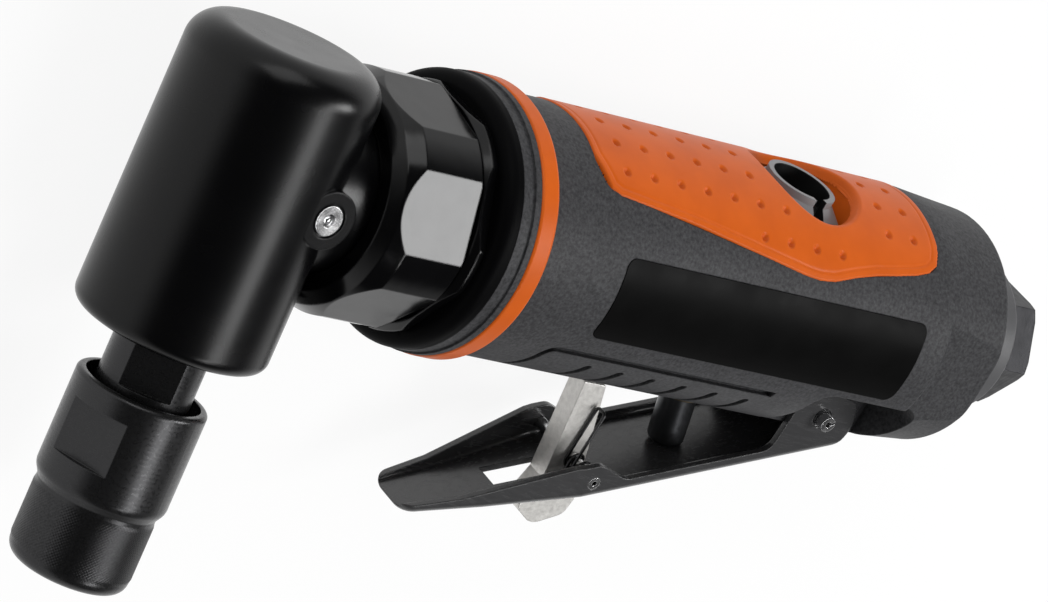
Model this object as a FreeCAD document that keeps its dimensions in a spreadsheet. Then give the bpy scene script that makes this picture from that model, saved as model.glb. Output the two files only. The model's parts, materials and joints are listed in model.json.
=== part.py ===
import FreeCAD, Part
import Sketcher
import math
import os
import re

# Right angle air die grinder, millimetres and degrees.
# Every piece is drawn from the point where the motor axis crosses the spindle axis: X runs rearwards
# along the motor, Y up the spindle, Z out of the near side. The finished tool stands with its origin
# at the mouth of the collet, so the crossing point lies at motor_height above it.

SIZES = {
    # overall placing
    "motor_height": 62.0,          # collet mouth to motor axis
    "housing_roll": 9.0,           # turn of the housing against the head, set by the coupling nut
    "running_gap": 0.03,           # shaft in a bearing
    "seat_gap": 0.05,              # part pushed into a bore
    "free_gap": 0.3,               # moving piece past a fixed one
    "overrun": 2.0,                # how far a cut runs past the surface
    # head
    "head_radius": 14.25,
    "head_top": 18.9,
    "head_bottom": 25.4,           # below the motor axis
    "head_top_round": 4.6,
    "head_bottom_round": 2.0,
    "head_bore": 11.0,
    "head_bore_top": 16.6,
    "head_seat_bore": 12.0,        # wider stretch for the lower bearing
    "neck_radius": 12.2,
    "neck_flange_radius": 14.9,
    "neck_flange_front": 19.0,
    "neck_end": 21.5,
    "neck_bore": 8.0,
    "neck_facing": 13.5,           # the head's side is turned flat here, to clear the nut
    # grease fitting in its boss
    "boss_x": 6.3,
    "boss_y": -0.6,
    "boss_radius": 4.3,
    "boss_face": 13.9,
    "boss_foot": 4.0,
    "fitting_radius": 2.2,
    "fitting_length": 3.0,
    "fitting_cone": 1.0,
    "fitting_channel": 0.5,
    "fitting_groove": 0.35,
    "grease_ball_radius": 0.6,
    # spindle and its bearings
    "upper_bearing_bottom": 9.2,
    "upper_bearing_width": 7.0,
    "upper_bearing_bore": 4.0,
    "lower_bearing_top": -13.4,
    "lower_bearing_width": 6.0,
    "lower_bearing_bore": 6.0,
    "race_share": 0.26,            # of a bearing's section, for each race
    "shield_thickness": 0.4,
    "shield_gap": 0.2,
    "retainer_top": -19.6,
    "retainer_bottom": -24.9,
    "spindle_radius": 6.9,
    "spindle_flats": 11.5,         # across the two flats
    "spindle_flat_top": -25.9,
    "spindle_flat_bottom": -33.0,
    "spindle_flat_angle": 127.0,
    "spindle_nose_end": -55.5,
    "spindle_round": 0.5,
    # collet and its nut
    "collet_bore": 3.0,
    "collet_mouth_radius": 5.1,
    "collet_shoulder_radius": 6.4,
    "collet_tail_radius": 4.4,
    "collet_length": 24.0,
    "collet_slot": 0.6,
    "collet_slot_share": 0.7,      # of the collet's length
    "nut_top": -33.7,
    "nut_upper_end": -48.7,
    "nut_shoulder_end": -50.2,
    "nut_lower_radius": 8.8,
    "nut_rim_round": 0.7,
    "nut_end_round": 2.1,
    "nut_rim_bore": 8.5,
    "nut_rim_bore_end": -36.4,
    "nut_flats": 17.0,
    "nut_flat_depth": 1.15,        # below the round between the flats
    "nut_flat_top": -37.0,
    "nut_flat_bottom": -44.9,
    "nut_flat_angle": 158.9,
    # coupling nut and lock ring
    "coupling_front": 14.2,
    "coupling_rear": 28.8,
    "coupling_flats": 33.1,
    "coupling_flat_depth": 1.05,   # below the turned corners
    "coupling_flat_angle": 14.0,
    "coupling_lip_radius": 14.7,
    "coupling_nose_end": 15.6,
    "coupling_nose_radius": 16.5,
    "coupling_cone_end": 18.2,
    "coupling_rear_chamfer": 0.3,
    "coupling_thread_radius": 15.2,
    "lock_ring_front": 29.4,
    "lock_ring_rear": 31.4,
    "lock_ring_step": 2.0,         # below the collar's flange
    "lock_ring_flat_depth": 1.0,
    "lock_ring_bevel": 0.95,
    "lock_ring_angle": 31.4,
    "lock_groove_depth": 1.8,      # of the groove between the nut and the lock ring
    # front collar, housing nose and trim ring
    "collar_front": 31.4,
    "collar_rear": 34.3,
    "collar_radius": 19.8,
    "collar_round": 1.9,
    "collar_bore": 7.5,
    "nose_step": 36.3,
    "nose_rear": 37.4,
    "nose_rise": 0.3,              # of the housing's nose over the flange
    "trim_rear": 40.8,
    "trim_rise": 0.45,             # of the trim ring over the flange
    "trim_seat_radius": 17.8,
    "trim_round": 0.5,
    # housing
    "housing_radius": 18.75,
    "housing_rear": 136.2,
    "housing_rear_radius": 17.7,
    "housing_taper_start": 122.0,
    "housing_rear_round": 1.2,
    "rear_flats_half": 16.6,
    "rear_flats_front": 123.2,
    "motor_bore": 14.6,
    # motor
    "spigot_rear": 41.4,
    "front_plate_rear": 49.0,
    "cylinder_rear": 79.8,
    "rear_plate_rear": 87.2,
    "plate_floor": 1.4,
    "rotor_bearing_radius": 9.5,
    "rotor_bearing_width": 5.9,
    "rotor_shaft": 3.0,
    "rotor_radius": 10.2,
    "rotor_side_gap": 0.15,
    "cylinder_bore": 11.5,
    "cylinder_offset": 1.2,
    "vane_thickness": 1.5,
    "vane_slot": 1.6,
    "vane_depth": 5.6,
    "rotor_shaft_front": 24.2,
    "port_radius": 1.2,
    "port_spacing": 5.0,
    # bevel pair
    "cone_distance": 11.25,
    "face_width": 3.5,
    "addendum": 0.62,
    "dedendum": 0.95,
    "tooth_thickness": 1.06,       # at the pitch line of the large end
    "pressure_angle": 20.0,
    "gear_back": 2.2,
    "gear_hub_bottom": -12.6,
    "gear_hub_radius": 6.2,
    "gear_bore": 4.6,
    "pinion_hub_end": 12.2,
    "pinion_hub_radius": 5.4,
    "pinion_shank": 4.0,
    "pinion_shank_end": 21.6,
    "pinion_socket_radius": 5.2,
    "pinion_socket_end": 29.0,
    "pinion_bearing_front": 12.9,
    "pinion_bearing_width": 4.0,
    "pinion_bearing_space": 0.3,
    # inlet
    "exhaust_collar_radius": 12.1,
    "exhaust_collar_rear": 144.0,
    "exhaust_collar_round": 0.5,
    "exhaust_hole": 0.9,
    "exhaust_hole_circle": 10.4,
    "inlet_flats": 17.0,
    "inlet_rear": 151.4,
    "inlet_corner_angle": 60.0,
    "inlet_bore": 5.8,
    "inlet_thread_depth": 11.0,
    "inlet_throat": 4.0,
    "inlet_shank": 8.0,
    "inlet_shank_front": 110.0,
    "inlet_chamfer": 0.8,
    "inlet_seal_x": 121.0,
    "inlet_seal_section": 0.8,
    "screen_length": 5.0,
    "screen_wall": 0.5,
    "muffler_front": 125.0,
    "muffler_outer": 11.7,
    "gallery_radius": 3.2,
    "gallery_drop": 3.9,
    "gallery_front": 94.5,
    # throttle valve, drawn along its own tilted axis from the housing's underside
    "valve_x": 98.1,
    "valve_tilt": 16.3,
    "plunger_radius": 2.8,
    "plunger_reach": 9.45,
    "plunger_round": 1.0,
    "plunger_lift": 3.1,           # travel when the lever is pressed home
    "bushing_radius": 4.3,
    "bushing_length": 8.3,
    "bushing_bore_gap": 0.06,
    "valve_seat_bore": 2.1,
    "valve_seat_height": 1.2,
    "valve_neck": 1.4,
    "valve_head_radius": 3.4,
    "valve_head_height": 2.0,
    "chamber_radius": 3.8,
    "chamber_top": 19.6,
    "valve_spring_radius": 2.4,
    "valve_spring_wire": 0.6,
    "valve_spring_turns": 6.0,
    "valve_seal_section": 0.5,
    "valve_seal_height": 2.6,
    # power regulator
    "regulator_x": 97.3,
    "dish_radius": 9.2,
    "dish_floor_radius": 8.5,
    "dish_floor": 13.3,
    "dish_wall": 1.0,
    "dish_rim": 19.6,
    "knob_base_radius": 8.0,
    "knob_base_height": 0.7,
    "knob_cone_top": 16.6,
    "knob_rim_radius": 5.5,
    "knob_rim_top": 17.7,
    "knob_hollow": 4.6,
    "knob_hollow_floor": 14.7,
    "knob_slot": 2.0,
    "regulator_stem": 3.0,
    "regulator_stem_bottom": 3.6,
    "regulator_seal_y": 10.0,
    "regulator_seal_section": 0.5,
    "regulator_pin_y": 6.6,
    "regulator_pin_radius": 0.75,
    "regulator_groove": 2.1,
    "regulator_pin_half": 5.5,
    # grip overmould
    "grip_radius": 19.05,
    "grip_seat_radius": 17.6,
    "grip_front_top": 50.2,
    "grip_front": 51.7,
    "grip_rear": 119.9,
    "grip_front_edge": 14.8,
    "grip_dip_x": 94.0,
    "grip_dip_edge": 10.4,
    "grip_rear_edge": 14.3,
    "grip_corner": 3.0,
    "grip_dip_round": 6.0,
    # bare name panel
    "panel_radius": 18.85,
    "panel_seat_radius": 18.35,
    "panel_front": 56.8,
    "panel_rear": 118.1,
    "panel_top": 7.9,
    "panel_bottom": -5.0,
    "panel_corner": 1.5,
    # grooves in the housing's flanks
    "groove_depth": 0.9,
    "groove_width": 1.1,
    "long_groove_front": 52.9,
    "long_groove_low": -16.6,
    "long_groove_rear": 97.7,
    "long_groove_y": -8.7,
    "short_groove_first": 63.1,
    "short_groove_step": 6.35,
    "short_groove_top": -10.9,
    "short_groove_low": -16.6,
    "short_groove_width": 1.3,
    # ear recesses and the lug between them
    "lug_half": 7.05,
    "recess_front": 105.7,
    "recess_top": -6.3,
    "recess_rear": 127.2,
    "recess_corner": 3.0,
    # relief under the housing that lets the lock lever's end swing past
    "relief_half": 5.0,
    "relief_front": 77.9,
    "relief_floor": 15.1,          # below the motor axis
    "relief_rear": 91.2,
    "relief_mouth_top": 16.1,
    "relief_mouth_rear": 92.5,
    "relief_corner": 0.3,
    # throttle lever, drawn from its pivot with its floor level
    "pivot_x": 118.9,
    "pivot_y": -15.0,
    "lever_slope": 22.0,
    "lever_sheet": 1.0,
    "lever_half": 8.27,
    "lever_tip_half": 4.27,
    "lever_reach": 69.3,
    "lever_taper": 40.7,
    "lever_taper_share": 0.14,     # side slope of the tapered stretch
    "lever_drop": 6.35,
    "lever_tip_rise": 0.5,
    "lever_tip_bend": 56.0,
    "lever_tip_round": 3.0,
    "lever_bend_round": 1.4,        # outside the sheet
    "flange_line": 4.1,
    "flange_rise_start": 33.5,
    "hump_rear": 38.2,
    "hump_front": 42.4,
    "hump_drop": 0.55,
    "flange_mid": 60.0,
    "flange_mid_drop": 3.9,
    "flange_tip_drop": 4.3,
    "lever_floor_rear": 2.0,
    "ear_rear": 6.1,
    "ear_rear_top": 1.5,
    "ear_top": 4.3,
    "ear_front": 4.4,
    "ear_foot": 8.3,
    "ear_round": 2.4,
    "slot_front": 52.3,
    "slot_rear": 36.0,
    "slot_half": 2.1,
    "pin_radius": 1.25,
    "pin_bore": 0.5,
    "pin_split": 0.4,
    "pin_half": 10.0,
    "pin_countersink": 1.65,
    "pin_countersink_depth": 0.35,
    # lock lever and its spring, drawn from the lock pin with the housing's axes
    "lock_pin_reach": 39.1,
    "lock_pin_drop": 3.6,
    "lock_pin_radius": 1.0,
    "lock_half": 1.75,
    "lock_top": 12.6,
    "lock_top_front": -5.8,
    "lock_top_rear": -1.6,
    "lock_waist_front": -3.1,
    "lock_waist_y": -4.2,
    "lock_tab_front": -4.5,
    "lock_tab_front_y": -9.8,
    "lock_tab_bottom": -12.1,
    "lock_tab_middle": -0.3,
    "lock_tab_rear": 4.6,
    "lock_tab_rear_y": -9.4,
    "lock_heel": 5.0,
    "lock_heel_y": -6.6,
    "lock_waist_rear": 2.7,
    "lock_round": 1.0,
    "spring_wire": 0.5,
    "spring_radius": 1.36,
    "spring_pitch": 1.0,
    "spring_inner": 2.1,           # the hairpin's two legs, out from the blade's middle
    "spring_outer": 4.1,
    "spring_top_x": -1.1,
    "spring_top_y": 9.2,
    "spring_bend": 0.6,
    "spring_tail": 1.6,
}

COUNTS = {
    "gear_teeth": 20,
    "pinion_teeth": 15,
    "vane_count": 5,
    "collet_slots": 4,
    "short_grooves": 6,
    "exhaust_holes": 8,
    "exhaust_ports": 4,
    "spring_inner_quarters": 4,
    "spring_outer_quarters": 10,
}

doc = FreeCAD.newDocument("right_angle_die_grinder")
sheet = doc.addObject("Spreadsheet::Sheet", "Sizes")


def fill_sheet():
    """Writes every driving size into its own cell, under its own name."""
    rows = list(SIZES.items()) + list(COUNTS.items())
    for row, (name, value) in enumerate(rows, start=1):
        sheet.set("A%d" % row, name)
        sheet.set("B%d" % row, str(value))
        sheet.setAlias("B%d" % row, name)
    doc.recompute()


def bound(text):
    """A formula in plain size names, written the way the sheet's cells are addressed."""
    known = lambda word: word in SIZES or word in COUNTS
    pick = lambda match: "Sizes." + match.group(0) if known(match.group(0)) else match.group(0)
    return re.sub(r"[a-z][a-z0-9_]*", pick, text)


def size(text):
    return float(sheet.evalExpression(bound(text)))


def vector(x, y, z):
    return FreeCAD.Vector(size(x), size(y), size(z))


X_AXIS = FreeCAD.Vector(1, 0, 0)
Y_AXIS = FreeCAD.Vector(0, 1, 0)
Z_AXIS = FreeCAD.Vector(0, 0, 1)

fill_sheet()


def turned_frame(base, origin, axis, angle):
    return base.multiply(FreeCAD.Placement(origin, FreeCAD.Rotation(axis, angle)))


HEAD = FreeCAD.Placement(vector("0", "motor_height", "0"), FreeCAD.Rotation())
HOUSING = turned_frame(HEAD, FreeCAD.Vector(), X_AXIS, size("housing_roll"))
LEVER = turned_frame(HOUSING, vector("pivot_x", "pivot_y", "0"), Z_AXIS, size("lever_slope"))
LOCK_PIN = vector("-lock_pin_reach", "-lock_pin_drop", "0")
LOCK = turned_frame(LEVER, LOCK_PIN, Z_AXIS, size("-lever_slope"))
VALVE = turned_frame(HOUSING, vector("valve_x", "-housing_radius", "0"), Z_AXIS, size("valve_tilt"))
REGULATOR = turned_frame(HOUSING, vector("regulator_x", "0", "0"), Y_AXIS, 0)

NUT_RADIUS = "(nut_flats/2 + nut_flat_depth)"
COUPLING_RADIUS = "(coupling_flats/2 + coupling_flat_depth)"
LOCK_RING_RADIUS = "(collar_radius - lock_ring_step)"

finished = []


def finish(piece, frame):
    """Puts a finished sub-part in its place and lists it for export."""
    piece.Placement = frame
    finished.append(piece)
    return piece


def new_body(name):
    body = doc.addObject("PartDesign::Body", name)
    body.Label = name
    return body


def new_sketch(body, plane, offset="0"):
    """A sketch on one of the body's own origin planes, moved along that plane's normal."""
    sketch = body.newObject("Sketcher::SketchObject", body.Name + "_sketch")
    face = [one for one in body.Origin.OriginFeatures if one.Role == plane + "_Plane"][0]
    sketch.AttachmentSupport = (face, [""])
    sketch.MapMode = "FlatFace"
    if offset != "0":
        sketch.setExpression("AttachmentOffset.Base.z", bound(offset))
    return sketch


def add_outline(sketch, corners):
    """A closed outline through corners (x, y) or (x, y, round), all given as formulas."""
    first = len(sketch.Geometry)
    count = len(corners)
    places = [vector(corner[0], corner[1], "0") for corner in corners]
    for index in range(count):
        line = Part.LineSegment(places[index], places[(index + 1) % count])
        sketch.addGeometry(line, False)
    for index in range(count):
        after = first + (index + 1) % count
        sketch.addConstraint(Sketcher.Constraint("Coincident", first + index, 2, after, 1))
    for index, corner in enumerate(corners):
        for kind, formula, value in (
            ("DistanceX", corner[0], places[index].x),
            ("DistanceY", corner[1], places[index].y),
        ):
            rule = Sketcher.Constraint(kind, -1, 1, first + index, 1, value)
            number = sketch.addConstraint(rule)
            sketch.setExpression("Constraints[%d]" % number, bound(formula))
    for index, corner in enumerate(corners):
        if len(corner) == 3:
            arc = len(sketch.Geometry)
            sketch.fillet(first + index, 1, size(corner[2]), True, True)
            number = sketch.addConstraint(Sketcher.Constraint("Radius", arc, size(corner[2])))
            sketch.setExpression("Constraints[%d]" % number, bound(corner[2]))


def add_circle(sketch, x, y, radius):
    centre = vector(x, y, "0")
    index = len(sketch.Geometry)
    sketch.addGeometry(Part.Circle(centre, Z_AXIS, size(radius)), False)
    for kind, formula, value in (("DistanceX", x, centre.x), ("DistanceY", y, centre.y)):
        number = sketch.addConstraint(Sketcher.Constraint(kind, -1, 1, index, 3, value))
        sketch.setExpression("Constraints[%d]" % number, bound(formula))
    number = sketch.addConstraint(Sketcher.Constraint("Radius", index, size(radius)))
    sketch.setExpression("Constraints[%d]" % number, bound(radius))


def revolve(body, axis, corners, kind="PartDesign::Revolution", shift="0"):
    """Turns an outline of the XY plane right round the H (X) or V (Y) axis, moved by shift along X."""
    sketch = new_sketch(body, "XY")
    if shift != "0":
        sketch.setExpression("AttachmentOffset.Base.x", bound(shift))
    add_outline(sketch, corners)
    feature = body.newObject(kind, body.Name + "_turned")
    feature.Profile = sketch
    feature.ReferenceAxis = (sketch, [axis + "_Axis"])
    feature.Angle = 360
    return feature


def groove(body, axis, corners, shift="0"):
    return revolve(body, axis, corners, "PartDesign::Groove", shift)


def extrude(body, kind, plane, draw, length, offset="0", middle=False, reverse=False):
    """Pads or pockets what draw puts in a sketch; middle spreads the length both ways."""
    sketch = new_sketch(body, plane, offset)
    draw(sketch)
    feature = body.newObject(kind, body.Name + "_" + kind.split("::")[1].lower())
    feature.Profile = sketch
    feature.setExpression("Length", bound(length))
    feature.SideType = "Symmetric" if middle else "One side"
    feature.Reversed = reverse
    return feature


def pad(body, plane, draw, length, offset="0", middle=False, reverse=False):
    return extrude(body, "PartDesign::Pad", plane, draw, length, offset, middle, reverse)


def pocket(body, plane, draw, length, offset="0", middle=False, reverse=False):
    """A pocket, with a check that it really takes something away."""
    doc.recompute()
    before = body.Shape.Volume
    feature = extrude(body, "PartDesign::Pocket", plane, draw, length, offset, middle, reverse)
    doc.recompute()
    if not body.Shape.Volume < before:
        raise ValueError(body.Name + " has a pocket that cuts nothing")
    return feature


def outline(*corners):
    return lambda sketch: add_outline(sketch, corners)


def circle(x, y, radius):
    return lambda sketch: add_circle(sketch, x, y, radius)


def outside(corners, reach):
    """Everything between an outline and a far larger square round the axes' crossing."""
    def draw(sketch):
        far = "(" + reach + ")"
        add_outline(sketch, [("-" + far, "-" + far), (far, "-" + far), (far, far), ("-" + far, far)])
        add_outline(sketch, corners)
    return draw


def hexagon(across_flats, flat_angle):
    """Corners in the YZ plane, where an angle of zero looks along Z and ninety along Y."""
    corner = "(%s)/(2*cos(30))" % across_flats
    corners = []
    for index in range(6):
        angle = "(%s+30+60*%d)" % (flat_angle, index)
        corners.append((corner + "*sin" + angle, corner + "*cos" + angle))
    return corners


def polar(body, feature, axis, count):
    """Repeats one feature round an axis of the body."""
    line = [one for one in body.Origin.OriginFeatures if one.Role == axis + "_Axis"][0]
    pattern = body.newObject("PartDesign::PolarPattern", body.Name + "_pattern")
    pattern.Originals = [feature]
    pattern.Axis = (line, [""])
    pattern.Angle = 360
    pattern.setExpression("Occurrences", bound(count))
    body.Tip = pattern
    return pattern


def round_edges(body, name, radius, wanted):
    """Rounds the edges of the body's last feature that the wanted test picks."""
    doc.recompute()
    base = body.Tip
    picked = []
    for index, edge in enumerate(base.Shape.Edges, start=1):
        if wanted(edge):
            picked.append("Edge%d" % index)
    if not picked:
        raise ValueError(name + " finds no edge to round")
    fillet = body.newObject("PartDesign::Fillet", name)
    fillet.Base = (base, picked)
    fillet.setExpression("Radius", bound(radius))
    doc.recompute()
    return fillet


def feature_from(name, shape):
    piece = doc.addObject("Part::Feature", name)
    piece.Label = name
    piece.Shape = shape
    return piece


def ring(axis, start, end, inner, outer):
    """Corners of a plain ring's section, along X for H or along Y for V."""
    if axis == "H":
        return [(start, inner), (end, inner), (end, outer), (start, outer)]
    return [(inner, start), (outer, start), (outer, end), (inner, end)]


def sleeve(start, end, inner, outer):
    """A plain ring about Z between two heights."""
    body = Part.makeCylinder(outer, end - start, FreeCAD.Vector(0, 0, start))
    return body.cut(Part.makeCylinder(inner, end - start, FreeCAD.Vector(0, 0, start)))


def shielded_bearing(axis, start, width, bore, outer):
    """Inner race, outer race and the two shields that close the space between them."""
    near = size(start)
    far = near + size(width)
    inner = size(bore)
    reach = size(outer)
    race = size("race_share") * (reach - inner)
    shield = size("shield_thickness")
    gap = size("shield_gap")
    shapes = [sleeve(near, far, inner, inner + race), sleeve(near, far, reach - race, reach)]
    for low in (near + gap, far - gap - shield):
        shapes.append(sleeve(low, low + shield, inner + race + gap, reach - race))
    turn = FreeCAD.Rotation(Z_AXIS, X_AXIS if axis == "H" else Y_AXIS)
    return [shape.transformed(turn.toMatrix()) for shape in shapes]


def bearing(name, axis, starts, width, bore, outer):
    shapes = []
    for start in starts:
        shapes += shielded_bearing(axis, start, width, bore, outer)
    return feature_from(name, Part.makeCompound(shapes))


def make_head_housing():
    body = new_body("head_housing")
    revolve(body, "V", [
        ("0", "-head_bottom"), ("head_radius", "-head_bottom", "head_bottom_round"),
        ("head_radius", "head_top", "head_top_round"), ("0", "head_top"),
    ])
    revolve(body, "H", [
        ("0", "0"), ("0", "neck_radius"), ("neck_flange_front", "neck_radius"),
        ("neck_flange_front", "neck_flange_radius"), ("neck_end", "neck_flange_radius"), ("neck_end", "0"),
    ])
    pad(body, "XY", circle("boss_x", "boss_y", "boss_radius"), "boss_face - boss_foot", "boss_foot")
    groove(body, "H", ring("H", "neck_facing", "neck_flange_front", "neck_radius", "head_top"))
    groove(body, "V", ring("V", "-head_bottom - overrun", "head_bore_top", "0", "head_bore"))
    groove(body, "V", ring("V", "-head_bottom - overrun", "lower_bearing_top", "0", "head_seat_bore"))
    groove(body, "H", ring("H", "0", "neck_end + overrun", "0", "neck_bore"))
    depth = "fitting_length"
    bore = "fitting_radius + fitting_groove"
    pocket(body, "XY", circle("boss_x", "boss_y", bore), "fitting_groove", "boss_face")
    pocket(body, "XY", circle("boss_x", "boss_y", "fitting_radius"), depth, "boss_face")
    return finish(body, HEAD)


def make_grease_fitting():
    """A flush drive fitting: a plug with a cone that leads to the ball at its channel."""
    body = new_body("grease_fitting")
    pad(body, "XY", circle("0", "0", "fitting_radius"), "fitting_length")
    pocket(body, "XY", circle("0", "0", "fitting_channel"), "fitting_length", "fitting_length")
    seat = "fitting_length - fitting_cone"
    sketch = new_sketch(body, "XZ")
    add_outline(sketch, [("0", seat), ("fitting_channel", seat), ("fitting_cone", "fitting_length"),
                         ("0", "fitting_length")])
    cone = body.newObject("PartDesign::Groove", "fitting_cone")
    cone.Profile = sketch
    cone.ReferenceAxis = (sketch, ["V_Axis"])
    cone.Angle = 360
    place = vector("boss_x", "boss_y", "boss_face - fitting_length")
    return finish(body, HEAD.multiply(FreeCAD.Placement(place, FreeCAD.Rotation())))


def make_grease_ball():
    ball = doc.addObject("Part::Sphere", "grease_ball")
    ball.Label = "grease_ball"
    ball.setExpression("Radius", bound("grease_ball_radius"))
    slope = "(fitting_cone - fitting_channel)/fitting_cone"
    seat = "(grease_ball_radius*sqrt(1 + (%s)^2) - fitting_channel)/(%s)" % (slope, slope)
    place = vector("boss_x", "boss_y", "boss_face - fitting_cone + " + seat)
    return finish(ball, HEAD.multiply(FreeCAD.Placement(place, FreeCAD.Rotation())))


def make_spindle():
    """Upper and lower bearing seats, the thick nose with two flats, and the collet's taper."""
    body = new_body("spindle")
    top = "upper_bearing_bottom + upper_bearing_width"
    low_seat = "lower_bearing_bore - running_gap"
    revolve(body, "V", [
        ("0", "spindle_nose_end"), ("spindle_radius", "spindle_nose_end", "spindle_round"),
        ("spindle_radius", "lower_bearing_top - lower_bearing_width"),
        (low_seat, "lower_bearing_top - lower_bearing_width"), (low_seat, "gear_hub_bottom"),
        ("gear_bore", "gear_hub_bottom"), ("gear_bore", "upper_bearing_bottom"),
        ("upper_bearing_bore - running_gap", "upper_bearing_bottom"),
        ("upper_bearing_bore - running_gap", top, "spindle_round"), ("0", top),
    ])
    tail = "collet_length - motor_height"
    groove(body, "V", [
        ("0", "spindle_nose_end - overrun"), ("collet_mouth_radius + seat_gap", "spindle_nose_end - overrun"),
        ("collet_mouth_radius + seat_gap", "spindle_nose_end"),
        ("collet_tail_radius + seat_gap", tail + " + overrun"), ("0", tail + " + overrun"),
    ])
    flat = "spindle_flats/2"
    far = "2*spindle_radius"
    length = "spindle_flat_top - spindle_flat_bottom"
    sketch_corners = [("-" + far, "-" + flat), (far, "-" + flat), (far, flat), ("-" + far, flat)]
    pocket(body, "XZ", outside(sketch_corners, "2*" + far), length, "-spindle_flat_bottom")
    turn = FreeCAD.Placement(FreeCAD.Vector(), FreeCAD.Rotation(Y_AXIS, size("90 - spindle_flat_angle")))
    return finish(body, HEAD.multiply(turn))


def make_bearing_retainer():
    body = new_body("bearing_retainer")
    revolve(body, "V", ring("V", "retainer_bottom", "retainer_top",
                            "spindle_radius + free_gap", "head_seat_bore - seat_gap"))
    return finish(body, HEAD)


def make_bearings():
    finish(bearing("spindle_bearing_upper", "V", ["upper_bearing_bottom"], "upper_bearing_width",
                   "upper_bearing_bore", "head_bore"), HEAD)
    finish(bearing("spindle_bearing_lower", "V", ["lower_bearing_top - lower_bearing_width"],
                   "lower_bearing_width", "lower_bearing_bore", "head_seat_bore"), HEAD)
    second = "pinion_bearing_front + pinion_bearing_width + pinion_bearing_space"
    finish(bearing("pinion_bearings", "H", ["pinion_bearing_front", second], "pinion_bearing_width",
                   "pinion_shank + running_gap", "neck_bore"), HEAD)
    finish(bearing("rotor_bearing_front", "H", ["spigot_rear + seat_gap"], "rotor_bearing_width",
                   "rotor_shaft + running_gap", "rotor_bearing_radius"), HEAD)
    finish(bearing("rotor_bearing_rear", "H", ["rear_plate_rear - rotor_bearing_width"],
                   "rotor_bearing_width", "rotor_shaft + running_gap", "rotor_bearing_radius"), HEAD)


def make_collet():
    """Six-millimetre collet: a long spring sleeve, slotted from its mouth, with a shoulder cone."""
    body = new_body("collet")
    mouth = "-motor_height"
    shoulder = "spindle_nose_end - overrun/2"
    slope = "collet_shoulder_radius - collet_mouth_radius"
    revolve(body, "V", [
        ("collet_bore", mouth), ("collet_mouth_radius", mouth),
        ("collet_mouth_radius", shoulder + " - 2*(" + slope + ")"),
        ("collet_shoulder_radius", shoulder + " - (" + slope + ")"), ("collet_shoulder_radius", shoulder),
        ("collet_mouth_radius", shoulder), ("collet_mouth_radius", "spindle_nose_end"),
        ("collet_tail_radius", mouth + " + collet_length"), ("collet_bore", mouth + " + collet_length"),
    ])
    half = "collet_slot/2"
    reach = "collet_length/2"
    slot = outline(("0", "-" + half), (reach, "-" + half), (reach, half), ("0", half))
    cut = pocket(body, "XZ", slot, "collet_length*collet_slot_share", "motor_height")
    polar(body, cut, "Y", "collet_slots")
    return finish(body, HEAD)


def make_collet_nut():
    body = new_body("collet_nut")
    thread = "spindle_radius + seat_gap"
    mouth = "-motor_height"
    cone_end = "spindle_nose_end - overrun/2"
    hole = "collet_mouth_radius + seat_gap"
    slope = "collet_shoulder_radius - collet_mouth_radius"
    revolve(body, "V", [
        (hole, mouth), ("nut_lower_radius", mouth, "nut_end_round"),
        ("nut_lower_radius", "nut_shoulder_end"), (NUT_RADIUS, "nut_upper_end", "nut_end_round"),
        (NUT_RADIUS, "nut_top", "nut_rim_round"), ("nut_rim_bore", "nut_top"),
        ("nut_rim_bore", "nut_rim_bore_end"), (thread, "nut_rim_bore_end - nut_rim_round"),
        (thread, cone_end + " - (" + slope + ")"), (hole, cone_end + " - 2*(" + slope + ")"),
    ])
    flat = "nut_flats/2"
    far = "2*nut_flats"
    corners = [("-" + far, "-" + flat), (far, "-" + flat), (far, flat), ("-" + far, flat)]
    length = "nut_flat_top - nut_flat_bottom"
    pocket(body, "XZ", outside(corners, "2*" + far), length, "-nut_flat_bottom")
    turn = FreeCAD.Placement(FreeCAD.Vector(), FreeCAD.Rotation(Y_AXIS, size("90 - nut_flat_angle")))
    return finish(body, HEAD.multiply(turn))


def bevel_tooth(pitch_angle, half_turn, far_distance, near_distance):
    """One straight bevel tooth about +Z, tapering to the cones' common apex at the origin."""
    low = -size("dedendum")
    high = size("addendum")
    wires = []
    for distance in (far_distance, near_distance):
        scale = distance / far_distance
        points = []
        for side, height in ((-1, low), (-1, high), (1, high), (1, low)):
            radius = distance * math.sin(pitch_angle) + scale * height * math.cos(pitch_angle)
            along = distance * math.cos(pitch_angle) - scale * height * math.sin(pitch_angle)
            half = scale * (size("tooth_thickness") / 2 - height * math.tan(math.radians(size("pressure_angle"))))
            turn = half_turn + side * half / radius
            points.append(FreeCAD.Vector(radius * math.cos(turn), radius * math.sin(turn), along))
        wires.append(Part.makePolygon(points + [points[0]]))
    return Part.makeLoft(wires, True, True)


def bevel_blank(pitch_angle, back, hub_radius, hub_end, bore):
    """The root cone between the toe and the heel of the teeth, with its back cone and hub."""
    far = size("cone_distance")
    near = far - size("face_width")
    low = -size("dedendum")
    points = []
    for distance in (near, far):
        scale = distance / far
        radius = distance * math.sin(pitch_angle) + scale * low * math.cos(pitch_angle)
        along = distance * math.cos(pitch_angle) - scale * low * math.sin(pitch_angle)
        points.append((radius, along))
    (toe, toe_along), (heel, heel_along) = points
    section = [(bore, toe_along), (toe, toe_along), (heel, heel_along), (heel, heel_along + back),
               (hub_radius, heel_along + back), (hub_radius, hub_end), (bore, hub_end)]
    corners = [FreeCAD.Vector(radius, 0, along) for radius, along in section]
    face = Part.Face(Part.makePolygon(corners + [corners[0]]))
    return face.revolve(FreeCAD.Vector(), Z_AXIS, 360)


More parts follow.
